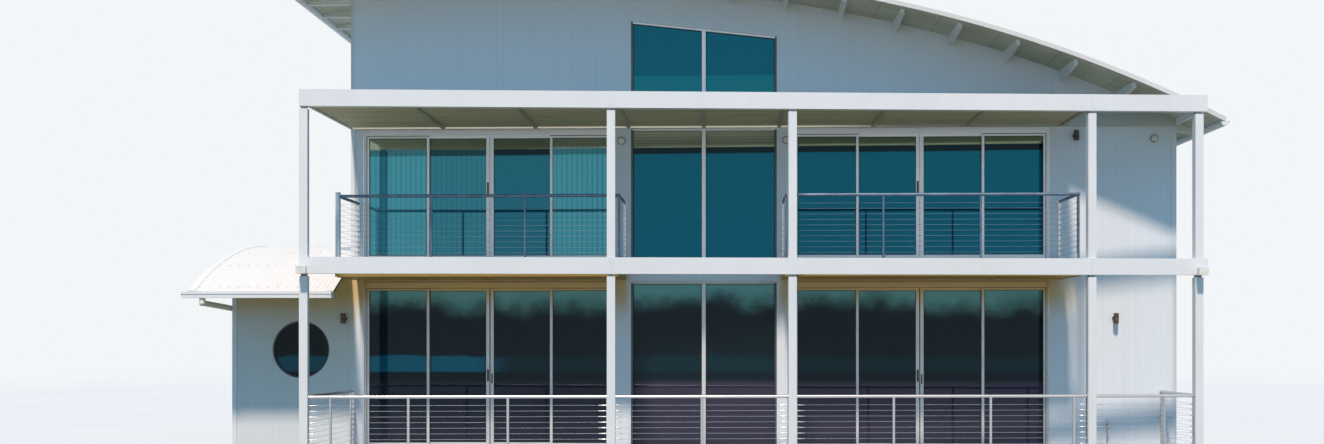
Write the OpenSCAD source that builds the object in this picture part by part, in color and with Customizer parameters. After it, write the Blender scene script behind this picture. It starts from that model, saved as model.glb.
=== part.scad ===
// Two-storey beach house with a low wing, a barrel roof and a steel-framed verandah.
// The origin is the middle of the main block at ground level, +X right and -Y towards the front.

/* [Main block] */
// Overall width of the main block
house_w = 13090; // [12000:10:15000]
// Overall depth of the main block
house_d = 8400; // [7000:10:11000]
// Thickness of the outer walls
wall_t = 200; // [150:10:300]
// Level of the ground floor above the ground
ground_floor_z = 450; // [300:10:700]
// Height from the ground floor to the upper floor
storey_h = 3000; // [2800:10:3400]
// Thickness of the upper floor
upper_floor_t = 300; // [200:10:400]

/* [Front doors and windows] */
// Width of a four-panel sliding unit
door_w = 4020; // [3400:10:4400]
// Width of the wall left of the left sliding units
left_pier_w = 215; // [180:5:600]
// Width of the wall between a sliding unit and the middle window
middle_pier_w = 260; // [200:5:500]
// Height of the wall band between the ground-floor openings and the upper floor
floor_band_h = 300; // [250:10:500]
// Height of the upper openings above the floor
upper_opening_h = 2140; // [2000:10:2160]
// Width of the middle window
window_w = 2320; // [1800:10:2600]
// Depth of the aluminium frames
frame_d = 110; // [90:5:150]
// Face width of the outer frame bars
frame_bar = 28; // [22:1:70]
// Face width of the head bar over the sliding doors
door_head = 90; // [60:5:110]
// Face width of the stiles of the door panels
stile_w = 40; // [34:1:60]
// Face width of the two stiles that meet in the middle of a sliding unit
meeting_stile_w = 57; // [40:1:70]
// Depth of a door panel
panel_d = 36; // [30:1:40]
// Thickness of the glass
glass_t = 10; // [6:1:14]
// Height from the verandah's roof beam to the gable window
gable_window_gap = 165; // [50:5:300]
// Distance from the top of the gable window to the roof
gable_window_drop = 560; // [300:10:650]

/* [Main roof] */
// Height from the upper doors to the roof at the right wall
wall_over_doors = 93; // [60:1:300]
// Rise of the roof from the right wall to its highest point
roof_rise = 2237; // [1900:1:2600]
// Part of that rise between the highest point and the turn, where the curve tightens
roof_turn_rise = 762; // [650:1:900]
// Place of the highest point, as a share of the block's width
roof_top_share = 0.2143; // [0.2:0.0001:0.3]
// Place of the turn, as a share of the block's width
roof_turn_share = 0.6917; // [0.6:0.0001:0.75]
// Thickness of the roof, sheet and lining together
roof_t = 60; // [40:5:100]
// Overhang at the front and at the back
roof_overhang_front = 1150; // [800:10:1250]
// Overhang at the left eave
roof_overhang_left = 800; // [600:10:1000]
// Overhang at the right eave
roof_overhang_right = 370; // [300:10:500]
// Distance between the roof brackets
bracket_pitch = 870; // [700:10:1000]
// Length of the brackets at the front and at the back
bracket_reach = 960; // [700:10:1000]
// Width of a roof bracket
bracket_w = 60; // [40:5:90]
// Depth of a roof bracket at the wall
bracket_root = 150; // [120:5:200]
// Depth of a roof bracket at its tip
bracket_tip = 65; // [40:5:80]
// Width of the eave gutters
gutter_w = 125; // [100:5:150]

/* [Wing] */
// Width of the wing's front wall
wing_w = 1920; // [1700:10:2600]
// Depth of the wing between the outer faces of its walls
wing_d = 5400; // [4600:10:6400]
// Height of the wing roof's highest point above the floor
wing_h = 3390; // [3100:10:3600]
// Radius of the wing roof
wing_radius = 8000; // [7500:50:9000]
// Thickness of the wing roof
wing_roof_t = 50; // [40:5:80]
// Overhang of the wing roof at the front and at the back
wing_overhang = 1000; // [700:10:1050]
// Overhang of the wing roof at its outer end
wing_end_overhang = 340; // [200:10:450]
// Diameter of the round window
round_window_d = 920; // [700:10:1000]
// Height of the round window's centre above the floor
round_window_h = 1625; // [1400:5:1800]
// Distance of the round window's centre from the main block
round_window_x = 810; // [700:10:1000]

/* [Verandah frame] */
// Distance from the front wall to the middle of the frame at its left end
verandah_depth_left = 2300; // [2200:10:2600]
// Distance from the front wall to the middle of the frame at its right end
verandah_depth_right = 1390; // [1380:10:1700]
// Distance of the first and fourth columns past the sliding units
column_past_doors = 277; // [200:1:400]
// Distance of the two middle columns from the centre lines of the walls behind them
column_shift = 27; // [0:1:60]
// Distance of the last column from the block's right side
end_column_inset = 128; // [60:1:300]
// Side of a square column
column_w = 120; // [90:5:150]
// Side of the short neck on top of a column
neck_w = 80; // [50:5:85]
// Height of the neck
neck_h = 40; // [30:5:60]
// Depth of the frame's beams
beam_h = 240; // [180:10:300]
// Thickness of the frame's beams
beam_w = 130; // [100:5:150]
// Length of beam past the last column on the right
beam_end = 60; // [0:5:100]
// Step down from the upper floor to the balconies
balcony_step = 20; // [10:5:60]
// Height of the roof beam's top above the upper doors
beam_over_doors = 245; // [240:5:400]
// Step down from the ground floor to the verandah
verandah_step = 20; // [10:5:60]

/* [Louvre roof] */
// Width of a louvre blade
blade_w = 165; // [120:5:200]
// Thickness of a louvre blade
blade_t = 20; // [12:1:30]
// Distance between the louvre blades
blade_pitch = 150; // [120:5:180]
// Tilt of the louvre blades
blade_tilt = 14; // [5:1:25]
// Depth of a rafter between the blades
rafter_h = 100; // [80:5:120]
// Width of a rafter
rafter_w = 50; // [40:5:80]
// Distance of the last rafter past the sliding units
louvre_past_doors = 195; // [100:5:230]

/* [Balconies and railings] */
// Depth of the balcony floors
balcony_d = 1260; // [1000:10:1300]
// Thickness of the balcony floors
balcony_t = 240; // [150:10:250]
// Distance from a balcony's edge to the middle of its railing
balcony_edge = 60; // [40:5:100]
// Distance of a balcony's inner end past the middle window
balcony_past_window = 70; // [40:5:120]
// Distance of the left balcony's outer end past the sliding unit
left_balcony_past_doors = 120; // [60:5:200]
// Distance of the right balcony's outer end past the sliding unit
right_balcony_past_doors = 200; // [60:5:220]
// Height of a railing above its floor
rail_h = 1005; // [950:5:1100]
// Diameter of the top rail
rail_d = 48; // [40:1:60]
// Diameter of a railing post
post_d = 40; // [30:1:50]
// Diameter of a railing wire
wire_d = 8; // [6:1:10]
// Distance between the railing wires
wire_pitch = 82; // [75:1:100]
// Number of railing wires
wire_count = 10; // [8:1:11]
// Side of the square post at the left balcony's outer corner
corner_post_w = 65; // [50:5:80]

/* [Rear and side windows] */
// Width of a rear window
back_window_w = 1800; // [1200:10:2400]
// Height of a rear window
back_window_h = 1200; // [900:10:1500]
// Width of the narrow side windows
side_window_w = 600; // [400:10:900]
// Height of a window sill above its floor
sill_height = 900; // [700:10:1100]

/* [Hidden] */

$fn = 48;
arc_step = 350;
inside = 1;
seat = 0.05;
front_y = -house_d / 2;
back_y = house_d / 2;
left_x = -house_w / 2;
right_x = house_w / 2;
roof_overhang_back = roof_overhang_front;

// Levels that follow from the floors
upper_floor_z = ground_floor_z + storey_h;
ground_head_z = upper_floor_z - floor_band_h;
upper_head_z = upper_floor_z + upper_opening_h;
verandah_floor_z = ground_floor_z - verandah_step;
lower_beam_top = upper_floor_z - balcony_step;
upper_beam_top = upper_head_z + beam_over_doors;
gable_window_z = upper_beam_top + gable_window_gap;
wing_top_z = ground_floor_z + wing_h;
round_window_z = ground_floor_z + round_window_h;

// Centre lines of the middle window and the sliding units
bay_axis_x = left_x + left_pier_w + door_w + middle_pier_w + window_w / 2;
door_offset = window_w / 2 + middle_pier_w + door_w / 2;
door_reach = door_offset + door_w / 2;

// Circles that shape the main roof: one to the turn, a tighter one from there to the right eave
roof_top_z = upper_head_z + wall_over_doors + roof_rise;
roof_top_x = left_x + roof_top_share * house_w;
eave_turn_x = left_x + roof_turn_share * house_w;
turn_run = eave_turn_x - roof_top_x;
roof_radius = (pow(turn_run, 2) + pow(roof_turn_rise, 2)) / (2 * roof_turn_rise);
eave_turn_angle = asin(turn_run / roof_radius);
eave_run = right_x - eave_turn_x;
eave_drop = roof_rise - roof_turn_rise;
eave_radius = (pow(eave_run, 2) + pow(eave_drop, 2))
    / (2 * (eave_drop * cos(eave_turn_angle) - eave_run * sin(eave_turn_angle)));
wide_centre = [roof_top_x, roof_top_z - roof_radius];
eave_centre = wide_centre + (roof_radius - eave_radius) * [sin(eave_turn_angle), cos(eave_turn_angle)];
roof_left = left_x - roof_overhang_left;
roof_right = right_x + roof_overhang_right;
roof_front = front_y - roof_overhang_front;
roof_back = back_y + roof_overhang_back;

// Level of the roof's underside at a place across the block, or of a surface lifted off it
function roof_under(x, lift = 0) = x < eave_turn_x + lift * sin(eave_turn_angle)
    ? wide_centre[1] + sqrt(pow(roof_radius + lift, 2) - pow(x - wide_centre[0], 2))
    : eave_centre[1] + sqrt(pow(eave_radius + lift, 2) - pow(x - eave_centre[0], 2));

// Even steps from one value to another, none longer than a given length
function even_steps(from, to, longest) = let (count = ceil((to - from) / longest))
    [for (i = [0 : count]) from + (to - from) * i / count];

// Columns of the verandah frame
column_x = [
    bay_axis_x - door_reach - column_past_doors,
    bay_axis_x - window_w / 2 - middle_pier_w / 2 - column_shift,
    bay_axis_x + window_w / 2 + middle_pier_w / 2 + column_shift,
    bay_axis_x + door_reach + column_past_doors,
    right_x - end_column_inset
];
frame_slope = (verandah_depth_left - verandah_depth_right) / (column_x[4] - column_x[0]);
frame_angle = atan(frame_slope);
function frame_y(x) = front_y - verandah_depth_left + (x - column_x[0]) * frame_slope;
half_beam = beam_w / 2 / cos(frame_angle);
frame_direction = [cos(frame_angle), sin(frame_angle)];
function frame_point(i, offset) = [column_x[i], frame_y(column_x[i])] + offset * frame_direction;

// Wing
wing_left = left_x - wing_w;
wing_back = front_y + wing_d;
wing_mid_y = front_y + wing_d / 2;
wing_centre_z = wing_top_z - wing_radius;
wing_half = wing_d / 2 + wing_overhang;
function wing_under(y, lift = 0) = wing_centre_z + sqrt(pow(wing_radius + lift, 2) - pow(y - wing_mid_y, 2));

door_centres = [bay_axis_x - door_offset, bay_axis_x + door_offset];
clearance = 0.3;
running_gap = 6;

wall_colour = [0.80, 0.83, 0.85];
frame_colour = [0.84, 0.87, 0.88];
roof_colour = [0.90, 0.91, 0.92];
soffit_colour = [0.45, 0.42, 0.33];
glass_colour = [0.25, 0.55, 0.60, 0.5];
aluminium_colour = [0.70, 0.72, 0.73];
steel_colour = [0.85, 0.86, 0.87];
floor_colour = [0.60, 0.58, 0.55];
light_colour = [0.30, 0.27, 0.24];

// A box from its lowest corner to its highest corner
module block(low, high) {
    translate(low) cube(high - low);
}

// Everything that lies under the main roof, between two places across the block
module under_roof(x0, x1, y0, y1, lift = 0, low = 0) {
    steps = even_steps(roof_left - inside, roof_right + inside, arc_step);
    intersection() {
        block([x0, y0, low], [x1, y1, roof_top_z + lift + inside]);
        translate([0, y1 + inside, 0]) rotate([90, 0, 0]) linear_extrude(y1 - y0 + 2 * inside) polygon(concat(
            [[roof_right + inside, -inside], [roof_left - inside, -inside]],
            [for (x = steps) [x, roof_under(x, lift)]]
        ));
    }
}

// Everything that lies under the wing roof
module under_wing_roof(x0, x1, y0, y1, lift = 0, low = 0) {
    steps = even_steps(wing_mid_y - wing_half - inside, wing_mid_y + wing_half + inside, arc_step);
    intersection() {
        block([x0, y0, low], [x1, y1, wing_top_z + lift + inside]);
        translate([x0 - inside, 0, 0]) rotate([90, 0, 90]) linear_extrude(x1 - x0 + 2 * inside) polygon(concat(
            [[wing_mid_y + wing_half + inside, -inside], [wing_mid_y - wing_half - inside, -inside]],
            [for (y = steps) [y, wing_under(y, lift)]]
        ));
    }
}

// A flat plate that runs from the front wall to the back of the frame's beam
module plate_to_frame(x0, x1, z0, z1) {
    y0 = frame_y(x0) + half_beam + seat;
    y1 = frame_y(x1) + half_beam + seat;
    translate([0, 0, z0]) linear_extrude(z1 - z0) polygon([[x0, front_y], [x0, y0], [x1, y1], [x1, front_y]]);
}

// Places its children along the frame, measured from the first column
module along_frame(x, z = 0) {
    translate([x, frame_y(x), z]) rotate([0, 0, frame_angle]) children();
}

module ground_floor() {
    color(floor_colour) block(
        [left_x + wall_t, front_y + wall_t, 0],
        [right_x - wall_t, back_y - wall_t, ground_floor_z]
    );
}

module upper_floor() {
    color(floor_colour) block(
        [left_x + wall_t, front_y + wall_t, upper_floor_z - upper_floor_t],
        [right_x - wall_t, back_y - wall_t, upper_floor_z]
    );
}

module front_plinth() {
    color(wall_colour) block([left_x, front_y, 0], [right_x, front_y + wall_t, ground_floor_z]);
}

// Edges of the wall pieces beside the openings, from left to right
pier_edges = [
    [left_x, door_centres[0] - door_w / 2],
    [door_centres[0] + door_w / 2, bay_axis_x - window_w / 2],
    [bay_axis_x + window_w / 2, door_centres[1] - door_w / 2],
    [door_centres[1] + door_w / 2, right_x]
];

module front_piers(z0, z1) {
    for (edge = pier_edges)
        block([edge[0], front_y, z0], [edge[1], front_y + wall_t, z1]);
}

module front_piers_ground() {
    color(wall_colour) front_piers(ground_floor_z, ground_head_z);
}

module front_floor_band() {
    color(wall_colour) block([left_x, front_y, ground_head_z], [right_x, front_y + wall_t, upper_floor_z]);
}

module front_piers_upper() {
    color(wall_colour) front_piers(upper_floor_z, upper_head_z);
}

// Shape of the gable window, whose top follows the roof
module gable_window_shape(shrink, y0, y1) {
    x0 = bay_axis_x - window_w / 2 + shrink;
    x1 = bay_axis_x + window_w / 2 - shrink;
    translate([0, y1, 0]) rotate([90, 0, 0]) linear_extrude(y1 - y0) polygon([
        [x0, gable_window_z + shrink],
        [x1, gable_window_z + shrink],
        [x1, roof_under(x1) - gable_window_drop - shrink],
        [x0, roof_under(x0) - gable_window_drop - shrink]
    ]);
}

module front_gable() {
    color(wall_colour) difference() {
        under_roof(left_x, right_x, front_y, front_y + wall_t, low = upper_head_z);
        gable_window_shape(0, front_y - inside, front_y + wall_t + inside);
    }
}

module left_wall() {
    color(wall_colour) difference() {
        under_roof(left_x, left_x + wall_t, front_y + wall_t, back_y - wall_t);
        side_window_hole(left_x - inside, left_x + wall_t + inside);
    }
}

module right_wall() {
    color(wall_colour) difference() {
        under_roof(right_x - wall_t, right_x, front_y + wall_t, back_y - wall_t);
        side_window_hole(right_x - wall_t - inside, right_x + inside);
    }
}

// Windows of the back wall, as centre, width, sill and head
back_windows = [
    for (x = [-house_w / 3, 0, house_w / 3]) for (floor_z = [ground_floor_z, upper_floor_z])
        [x, back_window_w, floor_z + sill_height, floor_z + sill_height + back_window_h]
];

// Narrow window high in each side wall, as the place of its centre from front to back, its sill and its head
side_window_y = front_y + house_d / 3;
side_window_z = [upper_floor_z + sill_height, upper_floor_z + sill_height + back_window_h];
module side_window_hole(x0, x1) {
    block(
        [x0, side_window_y - side_window_w / 2, side_window_z[0]],
        [x1, side_window_y + side_window_w / 2, side_window_z[1]]
    );
}

module back_wall() {
    color(wall_colour) difference() {
        under_roof(left_x, right_x, back_y - wall_t, back_y);
        for (w = back_windows)
            block([w[0] - w[1] / 2, back_y - wall_t - inside, w[2]], [w[0] + w[1] / 2, back_y + inside, w[3]]);
    }
}

module main_roof() {
    color(roof_colour) difference() {
        under_roof(roof_left, roof_right, roof_front, roof_back, lift = roof_t, low = upper_floor_z);
        under_roof(roof_left - inside, roof_right + inside, roof_front - inside, roof_back + inside);
    }
}

// A tapered bracket under the front or back overhang, its top cut to the roof
module gable_bracket(x, wall_y, side) {
    reach = bracket_reach;
    z = min(roof_under(x - bracket_w / 2), roof_under(x + bracket_w / 2));
    intersection() {
        under_roof(x - bracket_w / 2, x + bracket_w / 2,
            min(wall_y, wall_y + side * reach), max(wall_y, wall_y + side * reach));
        translate([x - bracket_w, 0, 0]) rotate([90, 0, 90]) linear_extrude(2 * bracket_w) polygon([
            [wall_y, z - bracket_root], [wall_y + side * reach, z - bracket_tip],
            [wall_y + side * reach, z + 200], [wall_y, z + 200]
        ]);
    }
}

// A tapered bracket under the left or right eave, its top cut to the roof
module eave_bracket(wall_x, tip_x, y) {
    z_wall = roof_under(wall_x);
    z_tip = roof_under(tip_x);
    intersection() {
        under_roof(min(wall_x, tip_x), max(wall_x, tip_x), y - bracket_w / 2, y + bracket_w / 2);
        translate([0, y + bracket_w, 0]) rotate([90, 0, 0]) linear_extrude(2 * bracket_w) polygon([
            [wall_x, z_wall - bracket_root], [tip_x, z_tip - bracket_tip],
            [tip_x, z_tip + 300], [wall_x, z_wall + 300]
        ]);
    }
}

bracket_first_x = left_x + bracket_pitch - 20;
bracket_count = floor((house_w - bracket_pitch - bracket_w) / bracket_pitch) + 1;
eave_bracket_y = front_y + 100;
eave_bracket_count = floor((house_d - 100 - bracket_w) / bracket_pitch) + 1;

module roof_brackets() {
    color(frame_colour) {
        for (i = [0 : bracket_count - 1]) {
            gable_bracket(bracket_first_x + i * bracket_pitch, front_y, -1);
            gable_bracket(bracket_first_x + i * bracket_pitch, back_y, 1);
        }
        for (i = [0 : eave_bracket_count - 1]) {
            eave_bracket(left_x, roof_left + gutter_w / 2 + 25, eave_bracket_y + i * bracket_pitch);
            eave_bracket(right_x, roof_right - gutter_w / 2 - 25, eave_bracket_y + i * bracket_pitch);
        }
    }
}

// A half-round gutter that runs front to back, with closed ends and straps across its rim
gutter_wall = 4;
strap_t = 3;
module half_round_gutter(x, z, y0, y1) {
    translate([x, y1, z]) rotate([90, 0, 0]) difference() {
        cylinder(d = gutter_w, h = y1 - y0);
        translate([0, 0, gutter_wall]) cylinder(d = gutter_w - 2 * gutter_wall, h = y1 - y0 - 2 * gutter_wall);
        translate([-gutter_w, 0, -inside]) cube([2 * gutter_w, gutter_w, y1 - y0 + 2 * inside]);
    }
    for (y = even_steps(y0 + bracket_pitch / 2, y1 - bracket_pitch / 2, bracket_pitch))
        block([x - gutter_w / 2, y - 12, z], [x + gutter_w / 2, y + 12, z + strap_t]);
}

// Middle of the gutters, just under the edges of the roof
left_gutter = [roof_left + 10, roof_under(roof_left) - strap_t];
right_gutter = [roof_right - 10, roof_under(roof_right) - strap_t];
module eave_gutters() {
    color(frame_colour) for (place = [left_gutter, right_gutter])
        half_round_gutter(place[0], place[1], roof_front, roof_back);
}

// A pipe through a row of points, with a round collar where it bends
pipe_d = 90;
collar_d = 98;
seam_turn = 53;
ball_turn = [70, 35, 20];
module pipe_run(points) {
    last = len(points) - 1;
    for (i = [0 : last - 1]) {
        run = points[i + 1] - points[i];
        translate(points[i]) rotate([0, acos(run[2] / norm(run)), atan2(run[1], run[0])])
            rotate([0, 0, seam_turn * (i + 1)]) cylinder(d = pipe_d, h = norm(run), $fn = 32);
    }
    for (i = [1 : last - 1])
        translate(points[i]) rotate(ball_turn) sphere(d = collar_d, $fn = 32);
}

// A rain pipe from a gutter's middle to the wall and down to the ground
pipe_stand = collar_d / 2 + seat;
module eave_pipe(gutter, wall_x, side) {
    y = back_y - bracket_pitch / 2;
    z = gutter[1] - gutter_w / 2;
    pipe_run([
        [gutter[0], y, z - seat], [gutter[0], y, z - 120],
        [wall_x + side * pipe_stand, y, z - 500], [wall_x + side * pipe_stand, y, 0]
    ]);
}

wing_gutter_z = wing_under(wing_mid_y - wing_half) - 60;
module downpipes() {
    wing_x = wing_left - pipe_stand;
    outlet_y = wing_mid_y - wing_half - gutter_w / 2;
    color(frame_colour) {
        eave_pipe(left_gutter, left_x, -1);
        eave_pipe(right_gutter, right_x, 1);
        pipe_run([
            [wing_x - 40, outlet_y, wing_gutter_z - seat], [wing_x - 40, outlet_y, wing_gutter_z - 75],
            [wing_x, front_y + 420, wing_gutter_z - 150], [wing_x, front_y + 420, 0]
        ]);
    }
}

// Angle strips that cover the corners of the walls
trim_w = 70;
trim_t = 12;
module corner_trims() {
    color(frame_colour) {
        block([left_x, front_y - trim_t, upper_floor_z], [left_x + trim_w, front_y, upper_beam_top - beam_h]);
        block([right_x - trim_w, front_y - trim_t, verandah_floor_z], [right_x, front_y, upper_beam_top - beam_h]);
        block([wing_left, front_y - trim_t, 0], [wing_left + trim_w, front_y, wing_under(front_y) - trim_w]);
    }
}

module wing_front_wall() {
    color(wall_colour) difference() {
        under_wing_roof(wing_left, left_x, front_y, front_y + wall_t);
        translate([left_x - round_window_x, front_y - inside, round_window_z])
            rotate([-90, 0, 0]) cylinder(d = round_window_d, h = wall_t + 2 * inside, $fn = 96);
    }
}

module wing_outer_walls() {
    color(wall_colour) difference() {
        under_wing_roof(wing_left, left_x, front_y + wall_t, wing_back);
        block([wing_left + wall_t, front_y, -inside], [left_x + inside, wing_back - wall_t, wing_top_z + inside]);
    }
}

module wing_floor() {
    color(floor_colour)
        block([wing_left + wall_t, front_y + wall_t, 0], [left_x, wing_back - wall_t, ground_floor_z]);
}

module wing_roof() {
    x0 = wing_left - wing_end_overhang;
    y0 = wing_mid_y - wing_half;
    y1 = wing_mid_y + wing_half;
    color(roof_colour) difference() {
        under_wing_roof(x0, left_x, y0, y1, lift = wing_roof_t, low = ground_floor_z);
        under_wing_roof(x0 - inside, left_x + inside, y0 - inside, y1 + inside);
    }
}

module wing_gutters() {
    x0 = wing_left - wing_end_overhang - 60;
    z = wing_under(wing_mid_y - wing_half);
    color(frame_colour) for (side = [-1, 1]) {
        y = wing_mid_y + side * (wing_half + gutter_w / 2);
        difference() {
            block([x0, y - gutter_w / 2, z - 60], [left_x, y + gutter_w / 2, z + 35]);
            block([x0 + 4, y - gutter_w / 2 + 4, z - 56], [left_x - 4, y + gutter_w / 2 - 4, z + 36]);
        }
    }
}

module round_window_frame() {
    color(aluminium_colour) translate([left_x - round_window_x, front_y + 40, round_window_z])
        rotate([-90, 0, 0]) difference() {
            cylinder(d = round_window_d, h = 60, $fn = 96);
            translate([0, 0, -inside]) cylinder(d = round_window_d - 50, h = 60 + 2 * inside, $fn = 96);
        }
}

floor_edge = column_w / 2 + 40;
module verandah_floor() {
    color(floor_colour) linear_extrude(verandah_floor_z) polygon([
        [column_x[0] - floor_edge, front_y],
        [column_x[0] - floor_edge, frame_y(column_x[0] - floor_edge) - floor_edge],
        [column_x[4] + floor_edge, frame_y(column_x[4] + floor_edge) - floor_edge],
        [column_x[4] + floor_edge, front_y]
    ]);
}

module columns(z0, z1) {
    for (x = column_x)
        along_frame(x) block([-column_w / 2, -column_w / 2, z0], [column_w / 2, column_w / 2, z1]);
}

module columns_ground() {
    color(frame_colour) columns(verandah_floor_z, lower_beam_top - beam_h - neck_h);
}

module columns_upper() {
    color(frame_colour) columns(lower_beam_top, upper_beam_top - beam_h - neck_h);
}

module column_necks() {
    color(light_colour) for (x = column_x) for (top = [lower_beam_top, upper_beam_top])
        along_frame(x) block(
            [-neck_w / 2, -neck_w / 2, top - beam_h - neck_h],
            [neck_w / 2, neck_w / 2, top - beam_h]
        );
}

// A beam over the columns, in three lengths that meet over the second and the fourth
beam_joint = 2;
module front_beam(top) {
    along = [for (x = column_x) (x - column_x[0]) / cos(frame_angle)];
    ends = [
        [-column_w / 2, along[1] - beam_joint / 2],
        [along[1] + beam_joint / 2, along[3] - beam_joint / 2],
        [along[3] + beam_joint / 2, along[4] + column_w / 2 + beam_end]
    ];
    along_frame(column_x[0]) for (end = ends)
        block([end[0], -beam_w / 2, top - beam_h], [end[1], beam_w / 2, top]);
}

module lower_beam() {
    color(frame_colour) front_beam(lower_beam_top);
}

module upper_beam() {
    color(frame_colour) front_beam(upper_beam_top);
}

ledger_w = 60;
module wall_ledger() {
    color(frame_colour) intersection() {
        block([left_x, front_y - ledger_w, upper_beam_top - beam_h], [right_x, front_y, upper_beam_top]);
        under_roof(roof_left, roof_right, roof_front, front_y);
    }
}

// Plan of a side plate, from the corner of the block to the outer face of its column
side_plate_t = 25;
module side_plate_plan(wall_x, x) {
    polygon([
        [wall_x, front_y - ledger_w], [wall_x + side_plate_t, front_y - ledger_w],
        [x + side_plate_t, frame_y(x + side_plate_t) + half_beam + seat], [x, frame_y(x) + half_beam + seat]
    ]);
}

module side_beams() {
    color(frame_colour) intersection() {
        translate([0, 0, upper_beam_top - beam_h]) linear_extrude(beam_h) {
            side_plate_plan(left_x, column_x[0] + column_w / 2 - side_plate_t);
            side_plate_plan(right_x - side_plate_t, column_x[4] + column_w / 2 - side_plate_t);
        }
        under_roof(roof_left, roof_right, front_y - 2 * verandah_depth_left, front_y);
    }
}

// Rafters over the middle bay, then at even steps out to the last one past the sliding units
middle_rafter = window_w / 2 + 35;
rafter_step = (door_reach + louvre_past_doors - middle_rafter) / 3;
rafter_x = [for (i = [-3 : 3]) bay_axis_x + (i < 0 ? -middle_rafter + (i + 1) * rafter_step
    : i > 0 ? middle_rafter + (i - 1) * rafter_step : 0)];
last_rafter_x = bay_axis_x + door_reach + louvre_past_doors;
rafter_z = upper_beam_top - beam_h;
all_rafters = concat(rafter_x, [last_rafter_x]);
module verandah_rafters() {
    color(frame_colour) for (x = all_rafters) difference() {
        plate_to_frame(x - rafter_w / 2, x + rafter_w / 2, rafter_z, rafter_z + rafter_h);
        block([x - rafter_w, front_y - ledger_w, rafter_z - inside],
            [x + rafter_w, front_y + inside, rafter_z + rafter_h + inside]);
    }
}

// Blades between the rafters, cut at the left along the side plate and at the front along the frame
blade_count = floor((verandah_depth_left - ledger_w - half_beam - 40) / blade_pitch);
blade_lift = 22;
blade_gap = 5;
blades_left = column_x[0] + column_w / 2 + blade_gap;
module louvre_blades() {
    color(soffit_colour) difference() {
        intersection() {
            for (i = [0 : blade_count - 1])
                translate([left_x - column_w, front_y - ledger_w - 30 - i * blade_pitch, rafter_z + blade_lift])
                    rotate([-blade_tilt, 0, 0]) translate([0, -blade_w, 0])
                        cube([last_rafter_x - left_x + column_w, blade_w, blade_t]);
            translate([0, 0, rafter_z]) linear_extrude(beam_h) polygon([
                [left_x + side_plate_t + blade_gap, front_y],
                [left_x + side_plate_t + blade_gap, front_y - ledger_w],
                [blades_left, frame_y(blades_left) + half_beam + seat],
                [last_rafter_x, frame_y(last_rafter_x) + half_beam + seat],
                [last_rafter_x, front_y]
            ]);
        }
        for (x = all_rafters) block(
            [x - rafter_w / 2, front_y - 2 * verandah_depth_left, rafter_z - inside],
            [x + rafter_w / 2, front_y + inside, rafter_z + beam_h + inside]
        );
    }
}

balcony_ranges = [
    [bay_axis_x - door_reach - left_balcony_past_doors, bay_axis_x - window_w / 2 - balcony_past_window],
    [bay_axis_x + window_w / 2 + balcony_past_window, bay_axis_x + door_reach + right_balcony_past_doors]
];
balcony_rail_y = balcony_d - balcony_edge;

module balcony_floors() {
    color(floor_colour) for (range = balcony_ranges)
        block([range[0], front_y - balcony_d, lower_beam_top - balcony_t], [range[1], front_y, lower_beam_top]);
}

// A straight railing between two points at floor level: a top rail, wires, round posts at the given shares
// of its length and a flat plate at each end that is asked for
end_plate = [8, 40];
module railing(from, to, shares, plates = [true, true]) {
    $fn = 16;
    length = norm(to - from);
    low_wire = rail_h - 148 - (wire_count - 1) * wire_pitch;
    translate(from) rotate([0, 0, atan2(to[1] - from[1], to[0] - from[0])]) {
        translate([0, 0, rail_h - rail_d / 2]) rotate([0, 90, 0]) cylinder(d = rail_d, h = length);
        for (i = [0 : wire_count - 1])
            translate([0, 0, low_wire + i * wire_pitch]) rotate([0, 90, 0]) cylinder(d = wire_d, h = length);
        for (share = shares)
            translate([share * length, 0, 0]) cylinder(d = post_d, h = rail_h - rail_d / 2, $fn = 24);
        if (plates[0])
            block([0, -end_plate[1] / 2, low_wire - 30], [end_plate[0], end_plate[1] / 2, rail_h - rail_d / 2]);
        if (plates[1])
            block([length - end_plate[0], -end_plate[1] / 2, low_wire - 30],
                [length, end_plate[1] / 2, rail_h - rail_d / 2]);
    }
}

// A point of the verandah floor or of a balcony
function on_verandah(point) = [point[0], point[1], verandah_floor_z];
function on_balcony(x, out) = [x, front_y - out, lower_beam_top];

module ground_railing() {
    shares = [[1 / 3, 2 / 3], [0.5], [1 / 3, 2 / 3, 0.955], []];
    color(steel_colour) for (i = [0 : 3]) railing(
        on_verandah(frame_point(i, column_w / 2 + seat)), on_verandah(frame_point(i + 1, -column_w / 2 - seat)),
        shares[i]
    );
}

// The ends of the ground railing: the left one runs to the block's corner, the right one square to the frame
back_direction = [-frame_direction[1], frame_direction[0]];
module ground_railing_ends() {
    tilt_room = rail_d / 2 * sin(frame_angle) + seat;
    left_from = frame_point(0, 0) + (column_w / 2 + rail_d / 2 * sin(2 * frame_angle) + seat) * back_direction;
    right_from = frame_point(4, 0) + (column_w / 2 + seat) * back_direction;
    right_to = right_from + (front_y - tilt_room - right_from[1]) / back_direction[1] * back_direction;
    color(steel_colour) {
        railing(on_verandah(left_from), on_verandah([left_x + 40, front_y - tilt_room]), [0.5, 0.94]);
        railing(on_verandah(right_from), on_verandah(right_to), [0.93]);
    }
}

// Middles of the end posts of the balcony railings
balcony_ends = [for (range = balcony_ranges) [range[0] + 30, range[1] - 30]];

module balcony_front_railing(end) {
    color(steel_colour) railing(
        on_balcony(end[0], balcony_rail_y), on_balcony(end[1], balcony_rail_y),
        [1 / 3, 2 / 3, 1], [false, false]
    );
}

module left_balcony_railing() {
    end = balcony_ends[0];
    balcony_front_railing(end);
    color(steel_colour) translate(on_balcony(end[0], balcony_rail_y)) block(
        [-corner_post_w / 2, -corner_post_w / 2, 0], [corner_post_w / 2, corner_post_w / 2, rail_h + 35]
    );
}

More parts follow.
